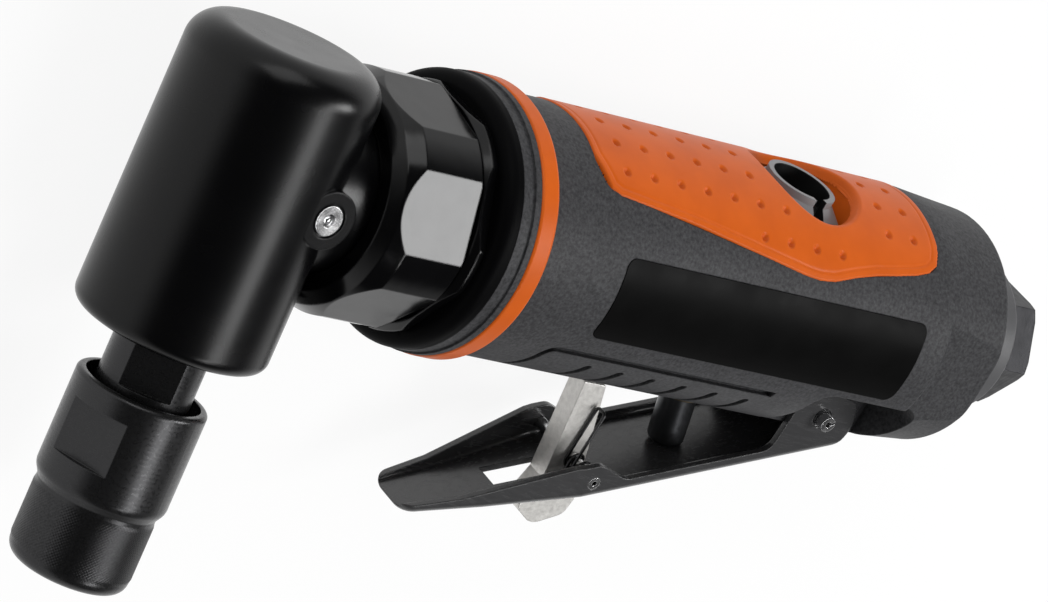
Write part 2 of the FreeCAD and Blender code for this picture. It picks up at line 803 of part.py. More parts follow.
def bevel_gear(teeth, mate, hub_radius, hub_end, bore, back, phase):
    pitch_angle = math.atan2(teeth, mate)
    far = size("cone_distance")
    near = far - size("face_width")
    shapes = []
    for index in range(teeth):
        turn = phase + 2 * math.pi * index / teeth
        shapes.append(bevel_tooth(pitch_angle, turn, far, near))
    blank = bevel_blank(pitch_angle, back, hub_radius, hub_end, bore)
    return blank.fuse(shapes).removeSplitter()


def make_bevel_gear():
    """The crown gear keyed on the spindle, teeth up."""
    teeth = int(size("gear_teeth"))
    half_tooth = math.pi / teeth
    shape = bevel_gear(teeth, int(size("pinion_teeth")), size("gear_hub_radius"),
                       size("-gear_hub_bottom"), size("gear_bore + seat_gap"), size("gear_back"), half_tooth)
    shape = shape.transformed(FreeCAD.Rotation(X_AXIS, 90).toMatrix())
    return finish(feature_from("bevel_gear", Part.makeCompound([shape])), HEAD)


def make_pinion():
    """Pinion, shank for its two bearings and the socket that takes the rotor's shaft."""
    teeth = int(size("pinion_teeth"))
    shape = bevel_gear(teeth, int(size("gear_teeth")), size("pinion_hub_radius"),
                       size("pinion_hub_end"), 0, size("gear_back - addendum"), 0)
    shank = Part.makeCylinder(size("pinion_shank"), size("pinion_shank_end - pinion_hub_end"),
                              vector("0", "0", "pinion_hub_end"))
    socket = Part.makeCylinder(size("pinion_socket_radius"), size("pinion_socket_end - pinion_shank_end"),
                               vector("0", "0", "pinion_shank_end"))
    hole = Part.makeCylinder(size("rotor_shaft + seat_gap/2"), size("pinion_socket_end - rotor_shaft_front"),
                             vector("0", "0", "rotor_shaft_front"))
    shape = shape.fuse([shank, socket]).cut(hole)
    rearwards = FreeCAD.Matrix(0, 0, 1, 0, -1, 0, 0, 0, 0, -1, 0, 0, 0, 0, 0, 1)
    shape = shape.transformed(rearwards)
    return finish(feature_from("pinion", Part.makeCompound([shape])), HEAD)


def make_coupling_nut():
    """Hexagon with its corners turned off, a coned front and a lip that grips the neck's flange."""
    body = new_body("coupling_nut")
    lip = "neck_radius + free_gap"
    revolve(body, "H", [
        ("coupling_front", lip), ("neck_flange_front - seat_gap", lip),
        ("neck_flange_front - seat_gap", "coupling_thread_radius"),
        ("coupling_rear", "coupling_thread_radius"),
        ("coupling_rear", COUPLING_RADIUS + " - coupling_rear_chamfer"),
        ("coupling_rear - coupling_rear_chamfer", COUPLING_RADIUS),
        ("coupling_cone_end", COUPLING_RADIUS), ("coupling_nose_end", "coupling_nose_radius"),
        ("coupling_front", "coupling_lip_radius"),
    ])
    pocket(body, "YZ", outside(hexagon("coupling_flats", "coupling_flat_angle"), "2*coupling_flats"),
           "2*coupling_rear", reverse=True)
    return finish(body, HEAD)


def make_lock_ring():
    """Slim ring nut with six shallow flats, locked against the collar's face."""
    body = new_body("lock_ring")
    groove = LOCK_RING_RADIUS + " - lock_groove_depth"
    revolve(body, "H", [
        ("coupling_rear + seat_gap", "coupling_thread_radius"), ("lock_ring_rear", "coupling_thread_radius"),
        ("lock_ring_rear", LOCK_RING_RADIUS),
        ("lock_ring_front + lock_ring_bevel", LOCK_RING_RADIUS),
        ("lock_ring_front", LOCK_RING_RADIUS + " - lock_ring_bevel"), ("lock_ring_front", groove),
        ("coupling_rear + seat_gap", groove),
    ])
    corners = hexagon("2*(" + LOCK_RING_RADIUS + " - lock_ring_flat_depth)", "lock_ring_angle")
    pocket(body, "YZ", outside(corners, "4*collar_radius"), "2*lock_ring_rear", reverse=True)
    return finish(body, HOUSING)


def make_front_collar():
    """Black end cap: threaded nose for the coupling nut, flange, and a spigot that holds the motor."""
    body = new_body("front_collar")
    nose = "coupling_thread_radius - seat_gap"
    revolve(body, "H", [
        ("neck_end", "collar_bore"), ("spigot_rear", "collar_bore"),
        ("spigot_rear", "motor_bore - seat_gap"), ("collar_rear", "motor_bore - seat_gap"),
        ("collar_rear", "collar_radius"), ("collar_front", "collar_radius", "collar_round"),
        ("collar_front", nose), ("neck_end", nose),
    ])
    return finish(body, HOUSING)


def make_trim_ring():
    body = new_body("trim_ring")
    revolve(body, "H", [
        ("nose_rear", "trim_seat_radius"), ("trim_rear", "trim_seat_radius"),
        ("trim_rear", "collar_radius + trim_rise", "trim_round"),
        ("nose_rear", "collar_radius + trim_rise", "trim_round"),
    ])
    return finish(body, HOUSING)


def make_front_end_plate():
    body = new_body("front_end_plate")
    outer = "motor_bore - seat_gap"
    floor = "front_plate_rear - plate_floor"
    revolve(body, "H", [
        ("spigot_rear", "rotor_bearing_radius"), (floor, "rotor_bearing_radius"),
        (floor, "rotor_shaft + free_gap"), ("front_plate_rear", "rotor_shaft + free_gap"),
        ("front_plate_rear", outer), ("spigot_rear", outer),
    ])
    return finish(body, HOUSING)


def make_rear_end_plate():
    body = new_body("rear_end_plate")
    outer = "motor_bore - seat_gap"
    floor = "cylinder_rear + plate_floor"
    revolve(body, "H", [
        ("cylinder_rear", "rotor_shaft + free_gap"), (floor, "rotor_shaft + free_gap"),
        (floor, "rotor_bearing_radius"), ("rear_plate_rear", "rotor_bearing_radius"),
        ("rear_plate_rear", outer), ("cylinder_rear", outer),
    ])
    return finish(body, HOUSING)


def make_cylinder():
    """The motor's cylinder: its bore stands off centre, and a row of ports lets the air out."""
    body = new_body("cylinder")
    length = "cylinder_rear - front_plate_rear"
    pad(body, "YZ", circle("0", "0", "motor_bore - seat_gap"), length, "front_plate_rear")
    pocket(body, "YZ", circle("-cylinder_offset", "0", "cylinder_bore"), length, "front_plate_rear",
           reverse=True)

    def ports(sketch):
        for index in range(int(size("exhaust_ports"))):
            place = "(front_plate_rear + cylinder_rear)/2 + port_spacing*(%d - (exhaust_ports - 1)/2)" % index
            add_circle(sketch, place, "0", "port_radius")

    pocket(body, "XZ", ports, "motor_bore", "0", reverse=True)
    return finish(body, HOUSING)


def make_rotor():
    """Slotted rotor on its shaft, which reaches forward into the pinion's socket."""
    body = new_body("rotor")
    front = "front_plate_rear + rotor_side_gap"
    rear = "cylinder_rear - rotor_side_gap"
    revolve(body, "H", [
        ("rotor_shaft_front + seat_gap", "0"), ("rotor_shaft_front + seat_gap", "rotor_shaft"),
        (front, "rotor_shaft"), (front, "rotor_radius"), (rear, "rotor_radius"), (rear, "rotor_shaft"),
        ("rear_plate_rear - seat_gap", "rotor_shaft"), ("rear_plate_rear - seat_gap", "0"),
    ])
    half = "vane_slot/2"
    low = "rotor_radius - vane_depth"
    high = "rotor_radius + overrun"
    slot = outline(("-" + half, low), (half, low), (half, high), ("-" + half, high))
    cut = pocket(body, "YZ", slot, rear + " - (" + front + ")", front, reverse=True)
    polar(body, cut, "X", "vane_count")
    return finish(body, HEAD)


def make_vanes():
    """The vanes, resting at the bottom of their slots."""
    body = new_body("vanes")
    front = "front_plate_rear + rotor_side_gap"
    rear = "cylinder_rear - rotor_side_gap"
    half = "vane_thickness/2"
    low = "rotor_radius - vane_depth + seat_gap"
    plate = outline(("-" + half, low), (half, low), (half, "rotor_radius"), ("-" + half, "rotor_radius"))
    pad(body, "YZ", plate, rear + " - (" + front + ")", front)
    doc.recompute()
    single = body.Shape.copy()
    doc.removeObject(body.Name)
    shapes = []
    count = int(size("vane_count"))
    for index in range(count):
        turned = single.copy()
        turned.rotate(FreeCAD.Vector(), X_AXIS, 360 * index / count)
        shapes.append(turned)
    return finish(feature_from("vanes", Part.makeCompound(shapes)), HEAD)


def make_exhaust_collar():
    body = new_body("exhaust_collar")
    revolve(body, "H", [
        ("housing_rear", "inlet_shank + seat_gap"), ("exhaust_collar_rear", "inlet_shank + seat_gap"),
        ("exhaust_collar_rear", "exhaust_collar_radius", "exhaust_collar_round"),
        ("housing_rear", "exhaust_collar_radius"),
    ])
    hole = pocket(body, "YZ", circle("exhaust_hole_circle", "0", "exhaust_hole"),
                  "exhaust_collar_rear - housing_rear + overrun", "exhaust_collar_rear")
    polar(body, hole, "X", "exhaust_holes")
    return finish(body, HOUSING)


def make_inlet_bushing():
    """Hexagon with a bored end for the air line's thread, on a shank screwed into the housing."""
    body = new_body("inlet_bushing")
    bottom = "inlet_rear - inlet_thread_depth"
    corner = "inlet_flats/(2*cos(30))"
    revolve(body, "H", [
        ("inlet_shank_front", "inlet_throat"), (bottom, "inlet_throat"), (bottom, "inlet_bore"),
        ("inlet_rear", "inlet_bore"), ("inlet_rear", corner + " - inlet_chamfer"),
        ("inlet_rear - inlet_chamfer*tan(30)", corner), ("exhaust_collar_rear", corner),
        ("exhaust_collar_rear", "inlet_shank"), ("inlet_shank_front", "inlet_shank"),
    ])
    outer = outside(hexagon("inlet_flats", "inlet_corner_angle - 30"), "2*inlet_flats")
    pocket(body, "YZ", outer, "inlet_rear - exhaust_collar_rear", "inlet_rear")
    section = "inlet_seal_section"
    groove(body, "H", ring("H", "inlet_seal_x - " + section, "inlet_seal_x + " + section,
                           "inlet_shank - 2*" + section, "inlet_shank + overrun"))
    return finish(body, HOUSING)


def torus(name, frame, axis, along, radius, section):
    """An O-ring round one of the frame's axes."""
    piece = doc.addObject("Part::Torus", name)
    piece.Label = name
    piece.setExpression("Radius1", bound(radius))
    piece.setExpression("Radius2", bound(section))
    turn = FreeCAD.Rotation(Z_AXIS, axis)
    return finish(piece, frame.multiply(FreeCAD.Placement(axis * size(along), turn)))


def make_seals():
    torus("inlet_seal", HOUSING, X_AXIS, "inlet_seal_x", "inlet_shank - inlet_seal_section + seat_gap",
          "inlet_seal_section - seat_gap")
    torus("regulator_seal", REGULATOR, Y_AXIS, "regulator_seal_y",
          "regulator_stem - regulator_seal_section + seat_gap", "regulator_seal_section - seat_gap")
    torus("valve_seal", VALVE, Y_AXIS, "valve_seal_height",
          "plunger_radius + valve_seal_section + bushing_bore_gap", "valve_seal_section - seat_gap")


def make_inlet_screen():
    """A thimble-shaped strainer in the inlet's throat."""
    body = new_body("inlet_screen")
    rear = "inlet_rear - inlet_thread_depth"
    front = rear + " - screen_length"
    wall = "screen_wall"
    outer = "inlet_throat - seat_gap"
    tip = "inlet_throat/2"
    revolve(body, "H", [
        (front, "0"), (front, tip), (rear, outer), (rear, outer + " - " + wall),
        (front + " + " + wall, tip + " - " + wall), (front + " + " + wall, "0"),
    ])
    return finish(body, HOUSING)


def make_muffler():
    body = new_body("exhaust_muffler")
    revolve(body, "H", ring("H", "muffler_front + seat_gap", "housing_rear - seat_gap",
                            "inlet_shank + seat_gap", "muffler_outer"))
    return finish(body, HOUSING)


def make_valve():
    """Bushing with the valve's seat, the plunger that the lever pushes, its head and its spring."""
    bushing = new_body("valve_bushing")
    bore = "plunger_radius + bushing_bore_gap"
    seat = "bushing_length - valve_seat_height"
    revolve(bushing, "V", [
        (bore, "0"), ("bushing_radius", "0"), ("bushing_radius", "bushing_length"),
        ("valve_seat_bore", "bushing_length"), ("valve_seat_bore", seat), (bore, seat),
    ])
    section = "valve_seal_section"
    groove(bushing, "V", ring("V", "valve_seal_height - " + section, "valve_seal_height + " + section,
                              "plunger_radius", "plunger_radius + 2*" + section + " + 2*bushing_bore_gap"))
    finish(bushing, VALVE)

    stem = new_body("valve_stem")
    head = "bushing_length + valve_head_height"
    revolve(stem, "V", [
        ("0", "-plunger_reach"), ("plunger_radius", "-plunger_reach", "plunger_round"),
        ("plunger_radius", seat + " - plunger_lift - seat_gap"),
        ("valve_neck", seat + " - plunger_lift - seat_gap"), ("valve_neck", head), ("0", head),
    ])
    finish(stem, VALVE)

    disc = new_body("valve_head")
    revolve(disc, "V", ring("V", "bushing_length + seat_gap", head, "valve_neck", "valve_head_radius"))
    finish(disc, VALVE)

    spring = helix_tube("valve_spring", "valve_spring_radius", "valve_spring_wire/2", "valve_spring_turns",
                        "(chamber_top - bushing_length - valve_head_height - valve_spring_wire"
                        " - 2*seat_gap)/valve_spring_turns")
    lift = vector("0", "bushing_length + valve_head_height + valve_spring_wire/2 + seat_gap", "0")
    upright = FreeCAD.Placement(lift, FreeCAD.Rotation(Z_AXIS, Y_AXIS))
    finish(spring, VALVE.multiply(upright))


def helix_points(radius, pitch, start, turns, steps):
    points = []
    for index in range(int(round(turns * steps)) + 1):
        turn = 2 * math.pi * index / steps
        height = start + pitch * index / steps
        points.append(FreeCAD.Vector(radius * math.cos(turn), radius * math.sin(turn), height))
    return points


def arcs_through(points):
    """Arcs through points taken two steps at a time."""
    edges = []
    for index in range(0, len(points) - 2, 2):
        edges.append(Part.Arc(points[index], points[index + 1], points[index + 2]).toShape())
    return edges


def tube(path, radius):
    """A round wire along a path, which starts square to its first point."""
    first = path.OrderedEdges[0]
    start = first.valueAt(first.FirstParameter)
    along = first.tangentAt(first.FirstParameter)
    section = Part.Wire(Part.makeCircle(radius, start, along))
    return path.makePipeShell([section], True, False)


def helix_tube(name, radius, wire, turns, pitch):
    points = helix_points(size(radius), size(pitch), 0, size(turns), 8)
    path = Part.Wire(arcs_through(points))
    return feature_from(name, Part.makeCompound([tube(path, size(wire))]))


def make_regulator():
    """Power regulator: a hollow coned knob with one slot, on a stem held by a cross pin."""
    body = new_body("power_regulator")
    base = "dish_floor + free_gap"
    groove_low = "regulator_pin_y - regulator_pin_radius - seat_gap"
    groove_high = "regulator_pin_y + regulator_pin_radius + seat_gap"
    section = "regulator_seal_section"
    seal_low = "regulator_seal_y - " + section
    seal_high = "regulator_seal_y + " + section
    seal_bottom = "regulator_stem - 2*" + section
    revolve(body, "V", [
        ("0", "regulator_stem_bottom"), ("regulator_stem", "regulator_stem_bottom"),
        ("regulator_stem", groove_low), ("regulator_groove", groove_low),
        ("regulator_groove", groove_high), ("regulator_stem", groove_high),
        ("regulator_stem", seal_low), (seal_bottom, seal_low), (seal_bottom, seal_high),
        ("regulator_stem", seal_high), ("regulator_stem", base), ("knob_base_radius", base),
        ("knob_base_radius", base + " + knob_base_height"), ("knob_rim_radius", "knob_cone_top"),
        ("knob_rim_radius", "knob_rim_top"), ("knob_hollow", "knob_rim_top"),
        ("knob_hollow", "knob_hollow_floor"), ("0", "knob_hollow_floor"),
    ])
    half = "knob_slot/2"
    slot = outline(("-" + half, "0"), (half, "0"), (half, "knob_base_radius + overrun"),
                   ("-" + half, "knob_base_radius + overrun"))
    pocket(body, "XZ", slot, "knob_rim_top - knob_hollow_floor", "-knob_hollow_floor", reverse=False)
    finish(body, REGULATOR)

    pin = doc.addObject("Part::Cylinder", "regulator_pin")
    pin.Label = "regulator_pin"
    pin.setExpression("Radius", bound("regulator_pin_radius"))
    pin.setExpression("Height", bound("2*regulator_pin_half"))
    place = vector("regulator_groove + regulator_pin_radius + seat_gap", "regulator_pin_y",
                   "-regulator_pin_half")
    finish(pin, REGULATOR.multiply(FreeCAD.Placement(place, FreeCAD.Rotation())))


GRIP_EDGE = [
    ("grip_front_top", "grip_radius + 2*overrun"), ("grip_front_top", "(grip_front_edge + grip_radius)/2"),
    ("grip_front", "grip_front_edge", "grip_corner"),
    ("grip_dip_x", "grip_dip_edge", "grip_dip_round"),
    ("grip_rear", "grip_rear_edge", "grip_corner"), ("grip_rear", "grip_radius + 2*overrun"),
]


def surface_patch(name, inner, outer, front, rear, edge):
    """The part of a thin shell round the motor axis that shows inside an edge drawn from the side."""
    body = new_body(name)
    revolve(body, "H", ring("H", front, rear, inner, outer))
    length = "4*housing_radius"
    pocket(body, "XY", outside(edge, "2*housing_rear"), length, middle=True)
    return body


def make_grip():
    """Soft overmould on the housing's back, which also lines the regulator's dish."""
    body = new_body("grip")
    revolve(body, "H", ring("H", "grip_front_top", "grip_rear", "grip_seat_radius", "grip_radius"))
    revolve(body, "V", [
        ("dish_floor_radius", "dish_floor"), ("dish_floor_radius + dish_wall", "dish_floor"),
        ("dish_radius + dish_wall", "dish_rim"), ("dish_radius", "dish_rim"),
    ], shift="regulator_x")
    pocket(body, "XY", outside(GRIP_EDGE, "2*housing_rear"), "4*housing_radius", middle=True)
    groove(body, "V", [
        ("0", "dish_floor"), ("dish_floor_radius", "dish_floor"), ("dish_radius", "dish_rim"),
        ("dish_radius", "dish_rim + overrun"), ("0", "dish_rim + overrun"),
    ], shift="regulator_x")
    groove(body, "H", ring("H", "grip_front_top", "grip_rear", "grip_radius", "grip_radius + 2*overrun"))
    return finish(body, HOUSING)


PANEL_EDGE = [
    ("panel_front", "panel_bottom", "panel_corner"), ("panel_rear", "panel_bottom", "panel_corner"),
    ("panel_rear", "panel_top", "panel_corner"), ("panel_front", "panel_top", "panel_corner"),
]


def make_name_panel():
    """The bare black panel on the near flank."""
    body = surface_patch("name_panel", "panel_seat_radius", "panel_radius", "panel_front", "panel_rear",
                         PANEL_EDGE)
    far = "2*housing_radius"
    half_space = outline(("0", "-" + far), ("2*housing_rear", "-" + far), ("2*housing_rear", far), ("0", far))
    pocket(body, "XY", half_space, far)
    return finish(body, HOUSING)


def make_groove_cutters():
    """The long finger groove on both flanks and the short grooves that run down from under it."""
    depth_radius = "housing_radius - groove_depth"
    proud = "housing_radius + overrun"
    half = "groove_width/2"
    edge = [
        ("long_groove_front - " + half, "long_groove_low"), ("long_groove_front + " + half, "long_groove_low"),
        ("long_groove_front + " + half, "long_groove_y - " + half, "groove_width"),
        ("long_groove_rear", "long_groove_y - " + half), ("long_groove_rear", "long_groove_y + " + half),
        ("long_groove_front - " + half, "long_groove_y + " + half, "2*groove_width"),
    ]
    cutters = [surface_patch("long_groove_cutter", depth_radius, proud, "long_groove_front - overrun",
                             "long_groove_rear + overrun", edge)]
    for index in range(int(size("short_grooves"))):
        place = "short_groove_first + short_groove_step*%d" % index
        near = place + " - short_groove_width/2"
        far = place + " + short_groove_width/2"
        round_end = "0.45*short_groove_width"
        edge = [
            (near, "short_groove_low"), (far, "short_groove_low"),
            (far, "short_groove_top", round_end), (near, "short_groove_top", round_end),
        ]
        cutters.append(surface_patch("short_groove_cutter_%d" % index, depth_radius, proud,
                                     near + " - overrun", far + " + overrun", edge))
    return cutters


def make_recess_cutter():
    """Both ear recesses at once: a block that leaves the pivot's lug standing in the middle."""
    body = new_body("recess_cutter")
    edge = outline(
        ("recess_front", "-2*housing_radius"), ("recess_front", "recess_top", "recess_corner"),
        ("recess_rear", "recess_top", "recess_corner"), ("recess_rear", "-2*housing_radius"),
    )
    pad(body, "XY", edge, "4*housing_radius", middle=True)
    pocket(body, "XY", edge, "2*lug_half", middle=True)
    return body


def make_dish_cutter():
    """The dish with its liner's seat, and the bore under it for the regulator's stem."""
    body = new_body("dish_cutter")
    bore = "regulator_stem + running_gap"
    revolve(body, "V", [
        ("0", "regulator_stem_bottom - free_gap"), (bore, "regulator_stem_bottom - free_gap"),
        (bore, "dish_floor"), ("dish_floor_radius + dish_wall", "dish_floor"),
        ("dish_radius + dish_wall", "dish_rim"), ("0", "dish_rim"),
    ], shift="regulator_x")
    return body


def make_valve_cutter():
    """The tilted bore for the valve's bushing and the chamber behind its seat."""
    body = new_body("valve_cutter")
    revolve(body, "V", [
        ("0", "-overrun"), ("bushing_radius", "-overrun"), ("bushing_radius", "bushing_length"),
        ("chamber_radius", "bushing_length"), ("chamber_radius", "chamber_top"), ("0", "chamber_top"),
    ])
    return body


def make_housing_blank():
    """Moulded housing: stepped nose, motor bore, wrench flats at the rear, and all that is let into it."""
    body = new_body("housing_blank")
    revolve(body, "H", [
        ("collar_rear", "0"), ("collar_rear", "collar_radius"), ("nose_step", "collar_radius"),
        ("nose_step", "collar_radius + nose_rise"), ("nose_rear", "collar_radius + nose_rise"),
        ("nose_rear", "trim_seat_radius"), ("trim_rear", "trim_seat_radius"),
        ("trim_rear", "housing_radius"), ("housing_taper_start", "housing_radius"),
        ("housing_rear", "housing_rear_radius", "housing_rear_round"), ("housing_rear", "0"),
    ])
    flat = "rear_flats_half"
    far = "2*housing_radius"
    corners = [("-" + far, "-" + flat), (far, "-" + flat), (far, flat), ("-" + far, flat)]
    pocket(body, "YZ", outside(corners, "2*" + far), "housing_rear - rear_flats_front + overrun",
           "housing_rear + overrun")
    groove(body, "H", ring("H", "collar_rear - overrun", "rear_plate_rear", "0", "motor_bore"))
    groove(body, "H", ring("H", "inlet_shank_front - overrun", "housing_rear + overrun", "0",
                           "inlet_shank + seat_gap"))
    groove(body, "H", ring("H", "muffler_front", "housing_rear + overrun", "0",
                           "muffler_outer + seat_gap"))
    pocket(body, "YZ", circle("-gallery_drop", "0", "gallery_radius"),
           "inlet_shank_front - gallery_front", "inlet_shank_front")
    pocket(body, "XY", circle("pivot_x", "pivot_y", "pin_radius + seat_gap/2"), "4*housing_radius",
           middle=True)
    relief = outline(
        ("relief_front", "-2*housing_radius"), ("relief_front", "-relief_floor", "relief_corner"),
        ("relief_rear", "-relief_floor", "relief_corner"), ("relief_mouth_rear", "-relief_mouth_top"),
        ("relief_mouth_rear", "-2*housing_radius"),
    )
    pocket(body, "XY", relief, "2*relief_half", middle=True)
    pin_hole = circle("regulator_x + regulator_groove + regulator_pin_radius + seat_gap",
                      "regulator_pin_y", "regulator_pin_radius + running_gap/2")
    pocket(body, "XY", pin_hole, "2*regulator_pin_half + seat_gap", middle=True)
    body.Placement = HOUSING
    return body


def make_housing(let_in):
    """Cuts every recess from the blank, and the seats of the pieces that are let into it."""
    blank = make_housing_blank()
    cutters = make_groove_cutters() + [make_recess_cutter(), make_dish_cutter()]
    for cutter in cutters:
        cutter.Placement = HOUSING
    valve_cutter = make_valve_cutter()
    valve_cutter.Placement = VALVE
    tools = doc.addObject("Part::MultiFuse", "housing_cutters")
    tools.Shapes = cutters + [valve_cutter] + let_in
    housing = doc.addObject("Part::Cut", "housing")
    housing.Label = "housing"
    housing.Base = blank
    housing.Tool = tools
    finished.append(housing)
    return housing


def lever_profile():
    """Side outline of floor and flanges together, rearwards and upwards from the pivot."""
    return [
        ("-lever_reach", "-lever_drop + lever_tip_rise"), ("-lever_tip_bend", "-lever_drop"),
        ("ear_rear", "-lever_drop", "2*ear_round"), ("ear_rear", "ear_rear_top", "ear_round"),
        ("(ear_rear - ear_front)/2", "ear_top", "ear_round"), ("-ear_front", "ear_top", "ear_round"),
        ("-ear_foot", "-flange_line", "ear_round"), ("-flange_rise_start", "-flange_line", "ear_round"),
        ("-hump_rear", "-hump_drop", "ear_round"), ("-hump_front", "-hump_drop", "ear_round"),
        ("-flange_mid", "-flange_mid_drop", "2*ear_round"), ("-lever_reach", "-flange_tip_drop"),
    ]


def lever_plan(half, tip_half):
    """Plan outline: parallel along the ears, narrowing to the rounded tip."""
    far = "2*ear_rear"
    return [
        ("-lever_reach", tip_half, "lever_tip_round"), ("-lever_reach", "-(%s)" % tip_half, "lever_tip_round"),
        ("-lever_taper", "-(%s)" % half), (far, "-(%s)" % half), (far, half), ("-lever_taper", half),
    ]


def low_edges(low, high):
    """Picks the edges between two heights, without those that run straight across the lever."""
    bottom = size(low) - size("seat_gap")
    top = size(high) + size("seat_gap")

    def wanted(edge):
        heights = [vertex.Y for vertex in edge.Vertexes]
        across = edge.BoundBox.XLength < size("seat_gap") and edge.BoundBox.XMin > size("-lever_reach")
        return min(heights) > bottom and max(heights) < top and not across

    return wanted


def make_throttle_lever():
    """Pressed sheet channel: floor, two flanges with ears for the pivot, and a slot for the lock lever."""
    body = new_body("lever_outer")
    pad(body, "XY", outline(
        ("-lever_reach", "-lever_drop + lever_tip_rise"), ("-lever_tip_bend", "-lever_drop"),
        ("ear_rear", "-lever_drop"), ("ear_rear", "ear_top"), ("-lever_reach", "ear_top"),
    ), "2*lever_half", middle=True)
    pocket(body, "XZ", outside(lever_plan("lever_half", "lever_tip_half"), "2*lever_reach"),
           "4*lever_half", middle=True)
    round_edges(body, "lever_bends", "lever_bend_round", low_edges("-lever_drop", "-lever_drop + lever_tip_rise"))
    pocket(body, "XY", outside(lever_profile(), "2*lever_reach"), "4*lever_half", middle=True)
    slot = outline(("-slot_front", "-slot_half"), ("-slot_rear", "-slot_half"),
                   ("-slot_rear", "slot_half"), ("-slot_front", "slot_half"))
    pocket(body, "XZ", slot, "2*lever_drop", "2*lever_drop")
    pocket(body, "XY", circle("0", "0", "pin_radius + running_gap"), "4*lever_half", middle=True)
    for reverse in (False, True):
        offset = "-lever_half" if reverse else "lever_half"
        pocket(body, "XY", circle("0", "0", "pin_countersink"), "pin_countersink_depth", offset,
               reverse=reverse)
    pocket(body, "XY", circle("-lock_pin_reach", "-lock_pin_drop", "lock_pin_radius + seat_gap/2"),
           "4*lever_half", middle=True)
    body.Placement = LEVER

    inside = new_body("lever_inside")
    floor = "-lever_drop + lever_sheet"
    high = "ear_top + overrun"
    pad(inside, "XY", outline(
        ("-lever_reach - overrun", floor + " + lever_tip_rise"), ("-lever_tip_bend", floor),
        ("lever_floor_rear", floor), ("lever_floor_rear", "-2*lever_drop"),
        ("2*ear_rear", "-2*lever_drop"), ("2*ear_rear", high), ("-lever_reach - overrun", high),
    ), "4*lever_half", middle=True)
    inner = [
        ("-lever_reach - overrun", "lever_tip_half - lever_sheet - overrun*lever_taper_share"),
        ("-lever_reach - overrun", "-(lever_tip_half - lever_sheet - overrun*lever_taper_share)"),
        ("-lever_taper", "-(lever_half - lever_sheet)"), ("2*ear_rear", "-(lever_half - lever_sheet)"),
        ("2*ear_rear", "lever_half - lever_sheet"), ("-lever_taper", "lever_half - lever_sheet"),
    ]
    pocket(inside, "XZ", outside(inner, "2*lever_reach"), "4*lever_half", middle=True)
    round_edges(inside, "lever_inner_bends", "lever_bend_round - lever_sheet",
                low_edges(floor, floor + " + 2*lever_tip_rise"))
    inside.Placement = LEVER
    lever = doc.addObject("Part::Cut", "throttle_lever")
    lever.Label = "throttle_lever"
    lever.Base = body
    lever.Tool = inside
    finished.append(lever)
    return lever


def make_pivot_pin():
    """Rolled spring pin: a tube with a slit, driven through the lug."""
    body = new_body("pivot_pin")
    pad(body, "XY", circle("0", "0", "pin_radius"), "2*pin_half", middle=True)
    pocket(body, "XY", circle("0", "0", "pin_bore"), "2*pin_half", middle=True)
    half = "pin_split/2"
    slit = outline(("0", "-" + half), ("2*pin_radius", "-" + half), ("2*pin_radius", half), ("0", half))
    pocket(body, "XY", slit, "2*pin_half", middle=True)
    return finish(body, LEVER)


def make_lock_pin():
    body = new_body("lock_pin")
    pad(body, "XY", circle("0", "0", "lock_pin_radius"), "2*lever_half", middle=True)
    share = "lock_pin_radius*pin_bore/pin_radius"
    pocket(body, "XY", circle("0", "0", share), "2*lever_half", middle=True)
    return finish(body, LOCK)


def make_lock_lever():
    """Cast lock-off lever: upright blade above the pin, thumb tab below the throttle lever."""
    body = new_body("lock_lever")
    blade = outline(
        ("lock_top_front", "lock_top"), ("lock_waist_front", "lock_waist_y"),
        ("lock_tab_front", "lock_tab_front_y", "lock_round"),
        ("lock_tab_middle", "lock_tab_bottom", "3*lock_round"),
        ("lock_tab_rear", "lock_tab_rear_y", "2*lock_round"), ("lock_heel", "lock_heel_y"),
        ("lock_waist_rear", "0"), ("lock_top_rear", "lock_top"),
    )
    pad(body, "XY", blade, "2*lock_half", middle=True)
    pocket(body, "XY", circle("0", "0", "lock_pin_radius + running_gap"), "4*lock_half", middle=True)
    return finish(body, LOCK)


def biarc(start, start_way, end, end_way):
    """Two arcs that leave and arrive along the given directions."""
    chord = end - start
    spread = 1 - start_way * end_way
    ways = start_way + end_way
    along = chord * ways
    reach = (-along + math.sqrt(along * along + 2 * spread * (chord * chord))) / (2 * spread)
    joint = (start + end + (start_way - end_way) * reach) * 0.5
    edges = []
    for low, high, corner in (
        (start, joint, start + start_way * reach),
        (joint, end, end - end_way * reach),
    ):
        middle = (low + high) * 0.5
        share = (high - low).Length / (2 * reach)
        edges.append(Part.Arc(low, (middle + corner * share) * (1 / (1 + share)), high).toShape())
    return edges


def coil_station(turn, height, slope):
    """A point of a coil about Z and the direction the wire takes there."""
    radius = size("spring_radius")
    point = FreeCAD.Vector(radius * math.cos(turn), radius * math.sin(turn), height)
    way = FreeCAD.Vector(-math.sin(turn), math.cos(turn), slope)
    return point, way.normalize()


def coil_quarters(turn, height, quarters):
    """Stations of a coil that starts square to Z and climbs outwards a quarter turn at a time."""
    climb = size("spring_pitch") / (2 * math.pi * size("spring_radius"))
    stations = [coil_station(turn, height, 0)]
    for quarter in range(1, quarters + 1):
        rise = height + size("spring_pitch") * quarter / 4
        slope = 0 if quarter == quarters else climb
        stations.append(coil_station(turn + math.pi / 2 * quarter, rise, slope))
    return stations


